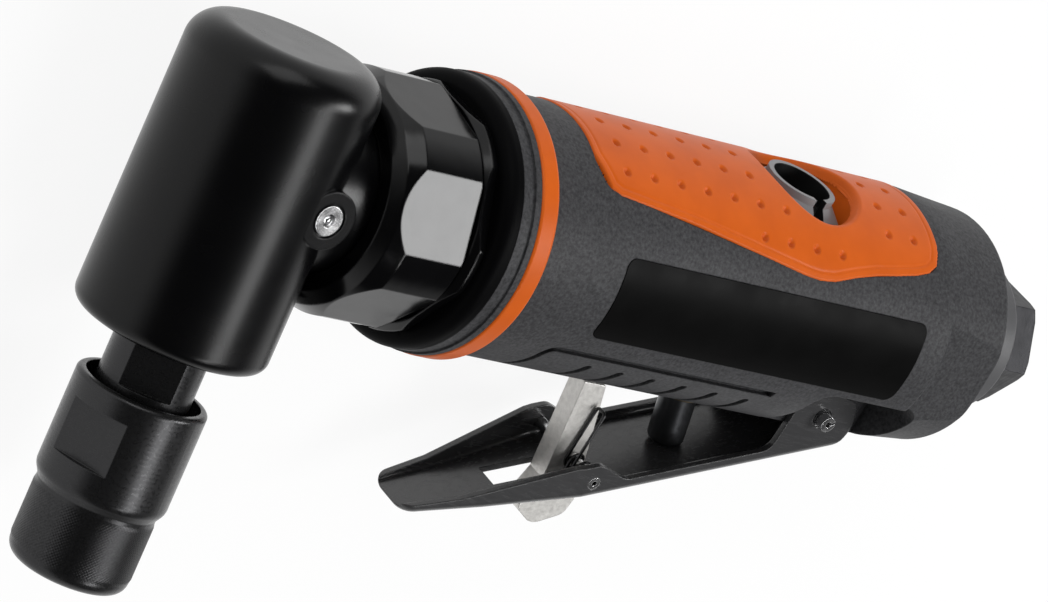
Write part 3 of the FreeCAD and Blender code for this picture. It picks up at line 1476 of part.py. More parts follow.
def make_lock_spring():
    """Torsion spring on the lock pin: a hairpin beside the blade, each leg wound on round the pin."""
    radius = size("spring_radius")
    top = vector("spring_top_x", "spring_top_y", "0")
    touch = math.atan2(top.y, top.x) + math.acos(radius / top.Length)
    foot = FreeCAD.Vector(radius * math.cos(touch), radius * math.sin(touch), 0)
    down = (foot - top).normalize()
    bend = size("spring_bend")
    arms = []
    for height, quarters in (("spring_inner", "spring_inner_quarters"), ("spring_outer", "spring_outer_quarters")):
        level = FreeCAD.Vector(0, 0, size(height))
        stations = [(top + level + down * bend, down)]
        stations += coil_quarters(touch, size(height), int(size(quarters)))
        end, way = stations[-1]
        stations.append((end + way * size("spring_tail"), way))
        arms.append(stations)
    inner, outer = arms
    across = Z_AXIS * bend
    bow = [(top + Z_AXIS * size("spring_inner") + across, Z_AXIS),
           (top + Z_AXIS * size("spring_outer") - across, Z_AXIS)]
    path = [(point, way * -1) for point, way in reversed(inner)] + bow + outer
    edges = []
    for (start, start_way), (end, end_way) in zip(path, path[1:]):
        if math.degrees((end - start).getAngle(start_way)) < 0.01:
            edges.append(Part.LineSegment(start, end).toShape())
        else:
            edges += biarc(start, start_way, end, end_way)
    wire = Part.Wire(edges)
    wire_radius = size("spring_wire/2")
    print("lock spring: least gap to itself %.2f mm" % least_gap(wire, wire_radius))
    return finish(feature_from("lock_spring", Part.makeCompound([tube(wire, wire_radius)])), LOCK)


def least_gap(wire, wire_radius):
    """Least gap between stretches of a round wire, measured on points half a radius apart."""
    count = int(wire.Length / (wire_radius / 2))
    points = wire.discretize(count)
    step = wire.Length / (count - 1)
    apart = int(math.pi * size("spring_radius") / step)
    gaps = []
    for index in range(count):
        for other in range(index + apart, count):
            gaps.append((points[index] - points[other]).Length)
    return min(gaps) - 2 * wire_radius


def check_and_export():
    doc.recompute()
    for one in doc.Objects:
        if "Invalid" in one.State or "Error" in one.State:
            raise ValueError(one.Name + " is not built: " + str(one.State))
    os.makedirs("parts", exist_ok=True)
    for piece in finished:
        shape = piece.Shape
        if shape.isNull() or not shape.isValid() or not shape.Solids:
            raise ValueError(piece.Label + " has no valid solid")
        shape.exportStep("parts/" + piece.Label + ".step")
        print("%-24s %2d solid(s) %10.2f mm3" % (piece.Label, len(shape.Solids), shape.Volume))


def main():
    make_head_housing()
    make_grease_fitting()
    make_grease_ball()
    make_spindle()
    make_bearing_retainer()
    make_bearings()
    make_collet()
    make_collet_nut()
    make_bevel_gear()
    make_pinion()
    make_coupling_nut()
    make_lock_ring()
    make_front_collar()
    make_trim_ring()
    make_front_end_plate()
    make_rear_end_plate()
    make_cylinder()
    make_rotor()
    make_vanes()
    make_exhaust_collar()
    make_inlet_bushing()
    make_seals()
    make_inlet_screen()
    make_muffler()
    make_valve()
    make_regulator()
    make_housing([make_grip(), make_name_panel()])
    make_throttle_lever()
    make_pivot_pin()
    make_lock_pin()
    make_lock_lever()
    make_lock_spring()
    check_and_export()


main()
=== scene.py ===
import json
import math

import bmesh
import bpy
import numpy as np
from mathutils import Matrix, Vector


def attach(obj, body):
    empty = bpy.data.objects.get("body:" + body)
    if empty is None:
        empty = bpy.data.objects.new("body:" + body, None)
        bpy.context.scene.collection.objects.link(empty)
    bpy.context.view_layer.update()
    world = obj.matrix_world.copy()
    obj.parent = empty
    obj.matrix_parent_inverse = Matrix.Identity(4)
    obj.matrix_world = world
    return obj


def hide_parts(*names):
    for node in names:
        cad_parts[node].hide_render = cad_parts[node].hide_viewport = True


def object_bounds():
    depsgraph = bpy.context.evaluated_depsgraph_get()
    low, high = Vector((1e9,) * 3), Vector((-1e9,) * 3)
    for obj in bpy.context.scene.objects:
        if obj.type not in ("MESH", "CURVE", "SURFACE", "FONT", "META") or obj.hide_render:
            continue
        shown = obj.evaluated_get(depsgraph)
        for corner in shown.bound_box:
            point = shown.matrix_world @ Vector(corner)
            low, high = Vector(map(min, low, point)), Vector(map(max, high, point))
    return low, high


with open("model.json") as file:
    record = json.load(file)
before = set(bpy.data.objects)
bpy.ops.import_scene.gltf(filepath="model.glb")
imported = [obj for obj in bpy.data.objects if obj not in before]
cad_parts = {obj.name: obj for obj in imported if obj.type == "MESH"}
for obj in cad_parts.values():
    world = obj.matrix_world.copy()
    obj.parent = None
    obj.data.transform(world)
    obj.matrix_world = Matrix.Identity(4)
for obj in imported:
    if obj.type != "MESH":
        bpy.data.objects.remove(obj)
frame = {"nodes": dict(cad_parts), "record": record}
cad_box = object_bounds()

# Right angle air die grinder. Sizes are in millimetres in the tool's own frame: X rearwards along the
# motor, Y up the spindle, Z out of the near flank, from the point where the two axes cross.

MM = 0.001
MOTOR_HEIGHT = 62.0
HOUSING_ROLL = math.radians(9.0)
TOOL_MIDDLE_X = 60.0

PHOTO_WIDTH = 1048
CAMERA_RIGHT = Vector((0.7183657, 0.4000471, 0.5691335))
CAMERA_UP = Vector((-0.1567606, 0.8901599, -0.4278335))
CAMERA_BACK = Vector((-0.6777734, 0.2181232, 0.7021720))
CAMERA_SHIFT = (-38.33, 18.16)
CAMERA_DISTANCE = 877.2
FOCAL_PIXELS = 6492.4


def at_head(x, y, z):
    return Vector((x, y + MOTOR_HEIGHT, z)) * MM


def at_housing(x, y, z):
    """A point given in the housing's frame, which is turned about the motor's axis."""
    turned_y = y * math.cos(HOUSING_ROLL) - z * math.sin(HOUSING_ROLL)
    turned_z = y * math.sin(HOUSING_ROLL) + z * math.cos(HOUSING_ROLL)
    return at_head(x, turned_y, turned_z)


# Camera, lamps and floor

def set_camera():
    data = bpy.data.cameras.new("photo_camera")
    data.sensor_fit = "HORIZONTAL"
    data.sensor_width = 36.0
    data.lens = data.sensor_width * FOCAL_PIXELS / PHOTO_WIDTH
    data.clip_start = 0.05
    camera = bpy.data.objects.new("photo_camera", data)
    bpy.context.scene.collection.objects.link(camera)
    shift_right, shift_up = CAMERA_SHIFT
    place = CAMERA_BACK * CAMERA_DISTANCE - CAMERA_RIGHT * shift_right - CAMERA_UP * shift_up
    axes = Matrix((CAMERA_RIGHT, CAMERA_UP, CAMERA_BACK)).transposed().to_4x4()
    camera.matrix_world = Matrix.Translation(at_head(*place)) @ axes
    bpy.context.scene.camera = camera


def add_lamp(name, direction, distance, size, power):
    """A soft rectangular lamp that looks at the middle of the tool."""
    data = bpy.data.lights.new(name, "AREA")
    data.shape = "RECTANGLE"
    data.size, data.size_y = size
    data.energy = power
    lamp = bpy.data.objects.new(name, data)
    bpy.context.scene.collection.objects.link(lamp)
    way = Vector(direction).normalized()
    lamp.location = at_head(TOOL_MIDDLE_X, 0.0, 0.0) + way * distance
    lamp.rotation_euler = way.to_track_quat("Z", "Y").to_euler()


def linear(hex_colour):
    """An sRGB hex colour as linear red, green, blue and alpha."""
    values = [int(hex_colour[start:start + 2], 16) / 255 for start in (1, 3, 5)]
    curve = [value / 12.92 if value <= 0.04045 else ((value + 0.055) / 1.055) ** 2.4 for value in values]
    return (*curve, 1.0)


def add(tree, kind, settings=None, links=None):
    """Adds a node, sets its properties and sockets, and links its inputs to other nodes' outputs."""
    node = tree.nodes.new(kind)
    for name, value in (settings or {}).items():
        if isinstance(name, str) and hasattr(node, name):
            setattr(node, name, value)
        else:
            node.inputs[name].default_value = value
    for name, output in (links or {}).items():
        tree.links.new(output, node.inputs[name])
    return node


def backdrop_rays(tree):
    """One where a camera, mirror or glass ray looks at the surroundings, zero for the light they give."""
    path = add(tree, "ShaderNodeLightPath")
    first = add(tree, "ShaderNodeMath", {"operation": "MAXIMUM"},
                {0: path.outputs["Is Camera Ray"], 1: path.outputs["Is Glossy Ray"]})
    return add(tree, "ShaderNodeMath", {"operation": "MAXIMUM"},
               {0: first.outputs[0], 1: path.outputs["Is Transmission Ray"]}).outputs[0]


def set_surroundings():
    """A white studio; mirrored in the tool, its walls are white and its ceiling is dark."""
    world = bpy.data.worlds.new("pale_studio")
    world.use_nodes = True
    tree = world.node_tree
    tree.nodes.clear()
    seen = add(tree, "ShaderNodeBackground", {"Color": linear("#FFFFFF"), "Strength": 1.0})
    given = add(tree, "ShaderNodeBackground", {"Color": linear("#FFFFFF"), "Strength": 0.3})
    ceiling = add(tree, "ShaderNodeBackground", {"Color": linear("#303030"), "Strength": 1.0})
    mixed = add(tree, "ShaderNodeMixShader", {},
                {0: backdrop_rays(tree), 1: given.outputs[0], 2: seen.outputs[0]})
    way = add(tree, "ShaderNodeTexCoord")
    height = add(tree, "ShaderNodeSeparateXYZ", {}, {0: way.outputs["Generated"]})
    above = add(tree, "ShaderNodeMapRange", {"From Min": 0.1, "From Max": 0.45},
                {"Value": height.outputs[2]})
    path = add(tree, "ShaderNodeLightPath")
    mirrored = add(tree, "ShaderNodeMath", {"operation": "MULTIPLY"},
                   {0: above.outputs[0], 1: path.outputs["Is Glossy Ray"]})
    mixed = add(tree, "ShaderNodeMixShader", {},
                {0: mirrored.outputs[0], 1: mixed.outputs[0], 2: ceiling.outputs[0]})
    add(tree, "ShaderNodeOutputWorld", {}, {"Surface": mixed.outputs[0]})
    bpy.context.scene.world = world
    bpy.context.scene.view_settings.view_transform = "Standard"


def set_floor():
    """A pale matt sheet under the tool, lifted to white where it is looked at, that keeps the shadow."""
    mesh = bmesh.new()
    bmesh.ops.create_grid(mesh, x_segments=1, y_segments=1, size=6.0)
    data = bpy.data.meshes.new("floor")
    mesh.to_mesh(data)
    mesh.free()
    floor = bpy.data.objects.new("floor", data)
    floor.location = (0.06, 0.04, cad_box[0][2] - 0.05 * MM)
    bpy.context.scene.collection.objects.link(floor)
    material = bpy.data.materials.new("matt_white_sheet")
    material.use_nodes = True
    tree = material.node_tree
    tree.nodes.clear()
    matt = add(tree, "ShaderNodeBsdfDiffuse", {"Color": linear("#F6F6F6")})
    lifted = add(tree, "ShaderNodeEmission", {"Color": linear("#FFFFFF"), "Strength": 1.0})
    share = add(tree, "ShaderNodeMath", {"operation": "MULTIPLY", 1: 0.9}, {0: backdrop_rays(tree)})
    mixed = add(tree, "ShaderNodeMixShader", {},
                {0: share.outputs[0], 1: matt.outputs[0], 2: lifted.outputs[0]})
    add(tree, "ShaderNodeOutputMaterial", {}, {"Surface": mixed.outputs[0]})
    data.materials.append(material)


# Finishes

def finish(name, colour, roughness, metallic=0.0, **more):
    """A material with its shader, ready for the nodes that give it its surface."""
    material = bpy.data.materials.new(name)
    material.use_nodes = True
    tree = material.node_tree
    tree.nodes.clear()
    shader = add(tree, "ShaderNodeBsdfPrincipled",
                 {"Base Color": linear(colour), "Roughness": roughness, "Metallic": metallic, **more})
    add(tree, "ShaderNodeOutputMaterial", {}, {"Surface": shader.outputs[0]})
    return material, tree, shader


def per_metre(millimetres):
    """The texture scale that repeats every so many millimetres."""
    return 1000.0 / millimetres


def grain(tree, millimetres, detail=2.0, stretch=(1.0, 1.0, 1.0)):
    """Fine noise with its grains so many millimetres across, drawn out along the stretched axes."""
    place = add(tree, "ShaderNodeTexCoord")
    moved = add(tree, "ShaderNodeMapping", {"Scale": stretch}, {"Vector": place.outputs["Object"]})
    return add(tree, "ShaderNodeTexNoise",
               {"Scale": per_metre(millimetres), "Detail": detail, "Roughness": 0.6},
               {"Vector": moved.outputs[0]}).outputs[0]


def rings(tree, millimetres, direction):
    """Turning lines a lathe leaves, so many millimetres apart along one axis."""
    place = add(tree, "ShaderNodeTexCoord")
    wave = {"wave_type": "BANDS", "bands_direction": direction,
            "Scale": per_metre(millimetres) / 20 * math.pi, "Distortion": 0.6, "Detail": 1.0}
    return add(tree, "ShaderNodeTexWave", wave, {"Vector": place.outputs["Object"]}).outputs["Fac"]


def spread(tree, value, low, high):
    """A value between zero and one, spread between two others."""
    ends = {"From Min": 0.3, "From Max": 0.7, "To Min": low, "To Max": high}
    return add(tree, "ShaderNodeMapRange", ends, {"Value": value}).outputs[0]


def blend_colours(tree, share, first, second):
    node = add(tree, "ShaderNodeMix", {"data_type": "RGBA"})
    node.inputs[6].default_value = linear(first)
    node.inputs[7].default_value = linear(second)
    tree.links.new(share, node.inputs[0])
    return node.outputs[2]


def surface(tree, shader, edge, height=None, depth=0.0):
    """Softens sharp edges to a radius in millimetres and raises a relief so many millimetres deep."""
    normal = add(tree, "ShaderNodeBevel", {"samples": 6, "Radius": edge * MM}).outputs[0]
    if height is not None:
        normal = add(tree, "ShaderNodeBump", {"Strength": 1.0, "Distance": depth * MM},
                     {"Height": height, "Normal": normal}).outputs[0]
    tree.links.new(normal, shader.inputs["Normal"])


def powder_coated_aluminium():
    """Cast head, powder coated: a satin black with a faint orange peel a third of a millimetre across."""
    material, tree, shader = finish("powder_coated_aluminium", "#060607", 0.27,
                                    **{"Specular IOR Level": 0.24})
    peel = grain(tree, 0.35)
    tree.links.new(spread(tree, grain(tree, 9.0), 0.24, 0.29), shader.inputs["Roughness"])
    surface(tree, shader, 0.35, peel, 0.006)
    return material


def black_enamelled_steel():
    """Turned nut with a glossy black enamel: clear reflections that its flow makes slightly wavy."""
    material, tree, shader = finish("black_enamelled_steel", "#070708", 0.12,
                                    **{"Specular IOR Level": 0.3})
    tree.links.new(spread(tree, grain(tree, 4.0), 0.1, 0.16), shader.inputs["Roughness"])
    surface(tree, shader, 0.4, grain(tree, 4.0, 1.0), 0.03)
    return material


def black_anodised_aluminium():
    """Turned collar, anodised black: a soft sheen with barely seen turning lines."""
    material, tree, shader = finish("black_anodised_aluminium", "#050506", 0.5,
                                    **{"Specular IOR Level": 0.03})
    surface(tree, shader, 0.3, rings(tree, 0.3, "X"), 0.002)
    return material


def glass_filled_nylon():
    """Moulded housing: dark grey, spark eroded grain under half a millimetre across, pale fibre specks."""
    material, tree, shader = finish("glass_filled_nylon", "#38383A", 0.55, **{"Specular IOR Level": 0.18})
    texture = grain(tree, 0.42, 3.0)
    speck = spread(tree, grain(tree, 0.5, 3.0), 0.0, 1.0)
    tree.links.new(blend_colours(tree, speck, "#262628", "#454547"), shader.inputs["Base Color"])
    tree.links.new(spread(tree, grain(tree, 12.0), 0.5, 0.62), shader.inputs["Roughness"])
    surface(tree, shader, 0.3, texture, 0.03)
    return material


def orange_elastomer():
    """Thermoplastic elastomer, moulded on: saturated orange with a soft satin skin."""
    material, tree, shader = finish("orange_elastomer", "#C85810", 0.42, **{"Specular IOR Level": 0.15})
    tone = spread(tree, grain(tree, 6.0), 0.0, 1.0)
    tree.links.new(blend_colours(tree, tone, "#C5560E", "#CE5C12"), shader.inputs["Base Color"])
    surface(tree, shader, 0.15, grain(tree, 0.3), 0.006)
    return material


def black_polyester_film():
    """Bare label of black polyester film: smooth and matt, so it shows as a plain dark shape."""
    material, tree, shader = finish("black_polyester_film", "#090909", 0.42,
                                    **{"Specular IOR Level": 0.03})
    tree.links.new(spread(tree, grain(tree, 5.0), 0.34, 0.44), shader.inputs["Roughness"])
    surface(tree, shader, 0.1, grain(tree, 0.2), 0.002)
    return material


def black_chromed_sheet():
    """Pressed steel lever in a glossy black finish, with faint drawing marks along it."""
    material, tree, shader = finish("black_chromed_sheet", "#3B3B3C", 0.25, **{"Specular IOR Level": 0.6})
    marks = grain(tree, 0.5, 2.0, (0.15, 1.0, 1.0))
    tree.links.new(spread(tree, marks, 0.2, 0.3), shader.inputs["Roughness"])
    surface(tree, shader, 0.3, marks, 0.006)
    return material


def black_oxide_steel():
    """Turned steel, blackened in a hot oxide bath: dark grey metal with turning lines."""
    material, tree, shader = finish("black_oxide_steel", "#363637", 0.3, 0.8)
    tree.links.new(spread(tree, grain(tree, 0.5, 3.0), 0.24, 0.36), shader.inputs["Roughness"])
    surface(tree, shader, 0.25, rings(tree, 0.35, "Y"), 0.004)
    return material


def knurled_oxide_steel():
    """The collet nut's knurled end, blackened too: its tone is uneven where hands have rubbed it."""
    material, tree, shader = finish("knurled_oxide_steel", "#343435", 0.3, 0.85)
    tone = spread(tree, grain(tree, 0.3, 2.0), 0.0, 1.0)
    tree.links.new(blend_colours(tree, tone, "#2C2C2D", "#3C3C3D"), shader.inputs["Base Color"])
    return material


def ground_steel(name, colour, roughness, axis):
    """Bare steel off the grinder: bright, with fine lines round its axis."""
    material, tree, shader = finish(name, colour, roughness, 1.0)
    tree.links.new(spread(tree, grain(tree, 2.0, 3.0), roughness - 0.05, roughness + 0.07),
                   shader.inputs["Roughness"])
    surface(tree, shader, 0.12, rings(tree, 0.5, axis), 0.001)
    return material


def cast_zinc():
    """Die cast lock lever, tumbled: pale silver, softly mottled, with rounded edges."""
    material, tree, shader = finish("cast_zinc", "#DAD8D4", 0.4, 0.5)
    tone = spread(tree, grain(tree, 0.8, 2.0), 0.0, 1.0)
    tree.links.new(blend_colours(tree, tone, "#D4D2CE", "#E6E4E0"), shader.inputs["Base Color"])
    tree.links.new(spread(tree, grain(tree, 0.6, 3.0), 0.34, 0.5), shader.inputs["Roughness"])
    surface(tree, shader, 0.3, grain(tree, 0.45, 3.0), 0.004)
    return material


DISH_X = 97.3
KNOB_AXIS = (0.0, math.cos(HOUSING_ROLL), math.sin(HOUSING_ROLL))
KNOB_FRONT = (0.0, -math.sin(HOUSING_ROLL), math.cos(HOUSING_ROLL))
KNOB_HOLLOW = 4.6
# Width of the blend from the painted black shade in the knob's hollow to its grey rim
KNOB_SHADE_BLEND = 0.1
KNOB_SLOT = 2.0
KNOB_SLOT_ROOM = 0.02


def moulded_acetal():
    """Power regulator's knob in acetal: a waxy grey rim and barrel; the hollow inside the rim and the slot
    across its near half are painted black as shade.
    """
    material, tree, shader = finish("moulded_acetal", "#7C7C7E", 0.42, **{"Specular IOR Level": 0.3})
    place = add(tree, "ShaderNodeTexCoord")
    offset = add(tree, "ShaderNodeVectorMath", {"operation": "SUBTRACT", 1: at_head(DISH_X, 0.0, 0.0)},
                 {0: place.outputs["Object"]})
    across = add(tree, "ShaderNodeVectorMath", {"operation": "CROSS_PRODUCT", 1: KNOB_AXIS},
                 {0: offset.outputs[0]})
    reach = add(tree, "ShaderNodeVectorMath", {"operation": "LENGTH"}, {0: across.outputs[0]})
    # Painted shade: black within the hollow's radius of the knob's axis, grey outside it
    clear_of_hollow_shade = add(tree, "ShaderNodeMapRange",
              {"From Min": KNOB_HOLLOW * MM, "From Max": (KNOB_HOLLOW + KNOB_SHADE_BLEND) * MM},
              {"Value": reach.outputs["Value"]})
    along = add(tree, "ShaderNodeSeparateXYZ", {}, {0: offset.outputs[0]})
    beside = add(tree, "ShaderNodeMath", {"operation": "ABSOLUTE"}, {0: along.outputs[0]})
    slot = add(tree, "ShaderNodeMath",
               {"operation": "LESS_THAN", 1: (KNOB_SLOT / 2 + KNOB_SLOT_ROOM) * MM},
               {0: beside.outputs[0]})
    front = add(tree, "ShaderNodeVectorMath", {"operation": "DOT_PRODUCT", 1: KNOB_FRONT},
                {0: offset.outputs[0]})
    near = add(tree, "ShaderNodeMath", {"operation": "GREATER_THAN", 1: 0.0}, {0: front.outputs["Value"]})
    # Painted shade in the slot, on the half of the knob that faces the near flank
    slot_painted_shade = add(tree, "ShaderNodeMath", {"operation": "MULTIPLY"}, {0: slot.outputs[0], 1: near.outputs[0]})
    unshaded_share = add(tree, "ShaderNodeMath", {"operation": "SUBTRACT", "use_clamp": True},
               {0: clear_of_hollow_shade.outputs[0], 1: slot_painted_shade.outputs[0]})
    # 0D0D0E is the painted shade of the hollow and slot; #7C7C7E is the acetal's own grey
    tree.links.new(blend_colours(tree, unshaded_share.outputs[0], "#0D0D0E", "#7C7C7E"), shader.inputs["Base Color"])
    surface(tree, shader, 0.2, grain(tree, 0.3), 0.01)
    return material


def phosphated_steel():
    """Inlet bushing in a grey phosphate coat: dull dark metal with turning lines."""
    material, tree, shader = finish("phosphated_steel", "#38383A", 0.5, 0.85)
    tree.links.new(spread(tree, grain(tree, 1.5, 4.0), 0.38, 0.54), shader.inputs["Roughness"])
    surface(tree, shader, 0.2, rings(tree, 0.4, "X"), 0.006)
    return material


def spring_wire():
    """Drawn spring wire, blackened in oil: dark with a hard narrow highlight."""
    material, tree, shader = finish("spring_wire", "#4A4A4B", 0.3, 1.0)
    tree.links.new(spread(tree, grain(tree, 0.6), 0.24, 0.38), shader.inputs["Roughness"])
    return material


def plain_part(name, colour, roughness, millimetres, depth, metallic=0.0):
    """A piece inside the tool: its own colour with a little tone and texture."""
    material, tree, shader = finish(name, colour, roughness, metallic)
    value = grain(tree, millimetres, 3.0)
    tree.links.new(spread(tree, value, roughness - 0.06, roughness + 0.08), shader.inputs["Roughness"])
    surface(tree, shader, 0.12, value, depth)
    return material


def dress(slot_finishes):
    """Gives every CAD node the finish of its material slot."""
    for row in frame["record"]["subparts"]:
        node = frame["nodes"][row["node"]]
        node.data.materials.clear()
        node.data.materials.append(slot_finishes[row["material_slot"]])


# Pieces

def mesh_piece(name, points, faces, material, body):
    data = bpy.data.meshes.new(name)
    data.from_pydata([tuple(point) for point in points], [], [tuple(face) for face in faces])
    data.validate()
    data.materials.append(material)
    for polygon in data.polygons:
        polygon.use_smooth = True
    piece = bpy.data.objects.new(name, data)
    bpy.context.scene.collection.objects.link(piece)
    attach(piece, body)
    return piece


def grid_faces(rows, columns, closed=False, keep=None):
    """Quads between neighbouring points of a grid, closed round its columns if asked."""
    faces = []
    for row in range(rows - 1):
        for column in range(columns if closed else columns - 1):
            after = (column + 1) % columns
            corners = (row * columns + column, row * columns + after,
                       (row + 1) * columns + after, (row + 1) * columns + column)
            if keep is None or all(keep[corner] for corner in corners):
                faces.append(corners)
    return faces


GRIP_RADIUS = 18.95
GRIP_STEP = 0.18
GRIP_EDGE_ROUND = 0.4
GRIP_BEAD = 0.24
BEAD_START = 0.7
BEAD_END = 1.15
BEAD_GROOVE = 0.12
GROOVE_PLACE = 1.25
GROOVE_WIDTH = 0.18
GRIP_SKIRT = 0.3
GRIP_THICKNESS = 1.6
DISH_RADIUS = 9.2
DISH_LIP = 0.6
DISH_SKIRT = 0.45
DISH_FLOOR = 13.3
DISH_TOP_DROP = 1.1
DISH_RIM_DROP = 0.75
DISH_RIM_SPREAD = 0.2
DISH_WALL_TOP = 8.97
DISH_WALL_BOTTOM = 8.5
DISH_COLUMNS = 160
DISH_ROWS = 14
DIMPLE_RADIUS = 0.58
DIMPLE_DEPTH = 0.62
DIMPLE_RIM = 0.12
DIMPLE_RIM_WIDTH = 0.24
DIMPLE_ROOM = 0.5
DIMPLE_ROWS_EACH_WAY = 3
DIMPLES_IN_ROW = 12
DIMPLE_STEP = 5.34
DIMPLE_FIRST_X = 56.0
DIMPLE_ROW_ANGLE = 15.5
DIMPLE_MIDDLE_ANGLE = 93.0

# Near edge of the grip from the side, front to rear: distance along the motor, height over its axis
GRIP_NEAR_EDGE = [
    (50.25, 17.6), (51.6, 16.2), (52.4, 15.1), (54.2, 14.55), (69.0, 13.4), (80.0, 12.05), (88.0, 11.05),
    (91.5, 10.6), (94.5, 10.4), (97.5, 10.65), (101.9, 11.7), (106.0, 12.45), (110.3, 12.95), (114.5, 13.5),
    (117.2, 14.05), (118.9, 14.9), (119.7, 16.3), (119.9, 17.6),
]


def grip_outline():
    """The grip's edge, unrolled: distance along the motor against distance round it."""
    near = [(x, GRIP_RADIUS * math.asin(y / GRIP_RADIUS)) for x, y in GRIP_NEAR_EDGE]
    half_turn = GRIP_RADIUS * math.pi
    far = [(x, half_turn - way) for x, way in reversed(near)]
    return np.array(near + far)


def distance_inside(outline, along, around):
    """Distance to a closed outline for every point of a grid, negative outside it."""
    nearest = np.full(along.shape, 1e9)
    inside = np.zeros(along.shape, dtype=bool)
    for (x0, y0), (x1, y1) in zip(outline, np.roll(outline, -1, axis=0)):
        dx, dy = x1 - x0, y1 - y0
        share = np.clip(((along - x0) * dx + (around - y0) * dy) / (dx * dx + dy * dy), 0, 1)
        nearest = np.minimum(nearest, np.hypot(along - x0 - share * dx, around - y0 - share * dy))
        if dy != 0:
            crosses = (y0 > around) != (y1 > around)
            inside ^= crosses & (along < x0 + (around - y0) * dx / dy)
    return np.where(inside, nearest, -nearest)


def quarter_round(distance, radius):
    """Height of a rounded edge below its flat, falling steeply past its start."""
    inside = np.clip(distance, 0, radius)
    rounded = np.sqrt(np.maximum(radius ** 2 - (radius - inside) ** 2, 0)) - radius
    return np.where(distance < 0, -radius + 3.0 * distance, rounded)


def smooth_step(value, low, high):
    share = np.clip((value - low) / (high - low), 0, 1)
    return share * share * (3 - 2 * share)


def build_grip(material):
    """Overmould: a beaded edge, pressed dimples with raised rims, and the lip of the regulator's dish."""
    outline = grip_outline()
    margin = 2 * GRIP_STEP
    low, high = outline.min(axis=0) - margin, outline.max(axis=0) + margin
    xs = np.arange(low[0], high[0], GRIP_STEP)
    ways = np.arange(low[1], high[1], GRIP_STEP)
    along, around = np.meshgrid(xs, ways, indexing="ij")
    edge = distance_inside(outline, along, around)
    height = quarter_round(edge, GRIP_EDGE_ROUND)
    height += GRIP_BEAD * (1 - smooth_step(edge, BEAD_START, BEAD_END))
    height -= BEAD_GROOVE * np.exp(-((edge - GROOVE_PLACE) / GROOVE_WIDTH) ** 2)
    angle = around / GRIP_RADIUS
    plan = np.hypot(along - DISH_X, GRIP_RADIUS * np.cos(angle))
    lip = plan - DISH_RADIUS
    for row in range(-DIMPLE_ROWS_EACH_WAY, DIMPLE_ROWS_EACH_WAY + 1):
        middle = GRIP_RADIUS * math.radians(DIMPLE_MIDDLE_ANGLE + DIMPLE_ROW_ANGLE * row)
        for number in range(DIMPLES_IN_ROW):
            centre = DIMPLE_FIRST_X + DIMPLE_STEP * number
            spot = np.hypot(along - centre, around - middle)
            near = spot < 3 * DIMPLE_RADIUS
            room = min(edge[near].min(initial=9.0), lip[near].min(initial=9.0))
            if room < DIMPLE_ROOM:
                continue
            height -= DIMPLE_DEPTH * np.exp(-(spot / DIMPLE_RADIUS) ** 3)
            height += DIMPLE_RIM * np.exp(-((spot - 1.6 * DIMPLE_RADIUS) / DIMPLE_RIM_WIDTH) ** 2)
    height = np.minimum(height, quarter_round(lip, DISH_LIP))
    keep = ((edge > -GRIP_SKIRT) & (lip > -DISH_SKIRT)).ravel()
    radius = GRIP_RADIUS + np.maximum(height, -GRIP_THICKNESS)
    points = [at_housing(x, r * math.sin(a), r * math.cos(a))
              for x, r, a in zip(along.ravel(), radius.ravel(), angle.ravel())]
    faces = grid_faces(len(xs), len(ways), keep=keep)
    used = sorted({corner for face in faces for corner in face})
    order = {corner: number for number, corner in enumerate(used)}
    piece = mesh_piece("grip_overmould", [points[corner] for corner in used],
                       [[order[corner] for corner in face] for face in faces], material, "tool")
    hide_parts("grip")


def build_dish(material):
    """Orange wall of the regulator's dish, from under the grip's lip down to the housing's floor."""
    points = []
    for step in range(DISH_ROWS + 1):
        for number in range(DISH_COLUMNS):
            turn = 2 * math.pi * number / DISH_COLUMNS
            side = math.sin(turn)
            top = math.sqrt(GRIP_RADIUS ** 2 - (DISH_RADIUS * side) ** 2)
            if step == 0:
                radius, level = DISH_RADIUS + DISH_RIM_SPREAD, top - DISH_RIM_DROP
            else:
                share = (step - 1) / (DISH_ROWS - 1)
                level = (top - DISH_TOP_DROP) * (1 - share) + DISH_FLOOR * share
                radius = DISH_WALL_TOP * (1 - share) + DISH_WALL_BOTTOM * share
            points.append(at_housing(DISH_X + radius * math.cos(turn), level, radius * side))
    mesh_piece("dish_wall", points, grid_faces(DISH_ROWS + 1, DISH_COLUMNS, closed=True), material, "tool")


KNURL_RADIUS = 8.83
KNURL_PITCH = 0.52
KNURL_HEIGHT = 0.12
KNURL_RECESS = 0.06
KNURL_POINTS = 4
KNURL_FADE_ROWS = 6
KNURL_TOP = -50.6
KNURL_BOTTOM = -60.0


def build_knurl(material):
    """Diamond knurling round the lower end of the collet nut."""
    teeth = round(2 * math.pi * KNURL_RADIUS / KNURL_PITCH)
    columns = teeth * KNURL_POINTS
    rows = round((KNURL_TOP - KNURL_BOTTOM) / KNURL_PITCH * KNURL_POINTS) + 1
    points = []
    for row in range(rows):
        level = KNURL_TOP + (KNURL_BOTTOM - KNURL_TOP) * row / (rows - 1)
        fade = min(1.0, min(row, rows - 1 - row) / KNURL_FADE_ROWS)
        for column in range(columns):
            first = 2 * math.pi * (column + row) / KNURL_POINTS
            second = 2 * math.pi * (column - row) / KNURL_POINTS
            tip = (2 + math.cos(first) + math.cos(second)) / 4
            radius = KNURL_RADIUS - KNURL_RECESS + fade * (KNURL_RECESS + KNURL_HEIGHT * tip)
            turn = 2 * math.pi * column / columns
            points.append(at_head(radius * math.cos(turn), level, radius * math.sin(turn)))
    mesh_piece("nut_knurling", points, grid_faces(rows, columns, closed=True), material, "spindle")


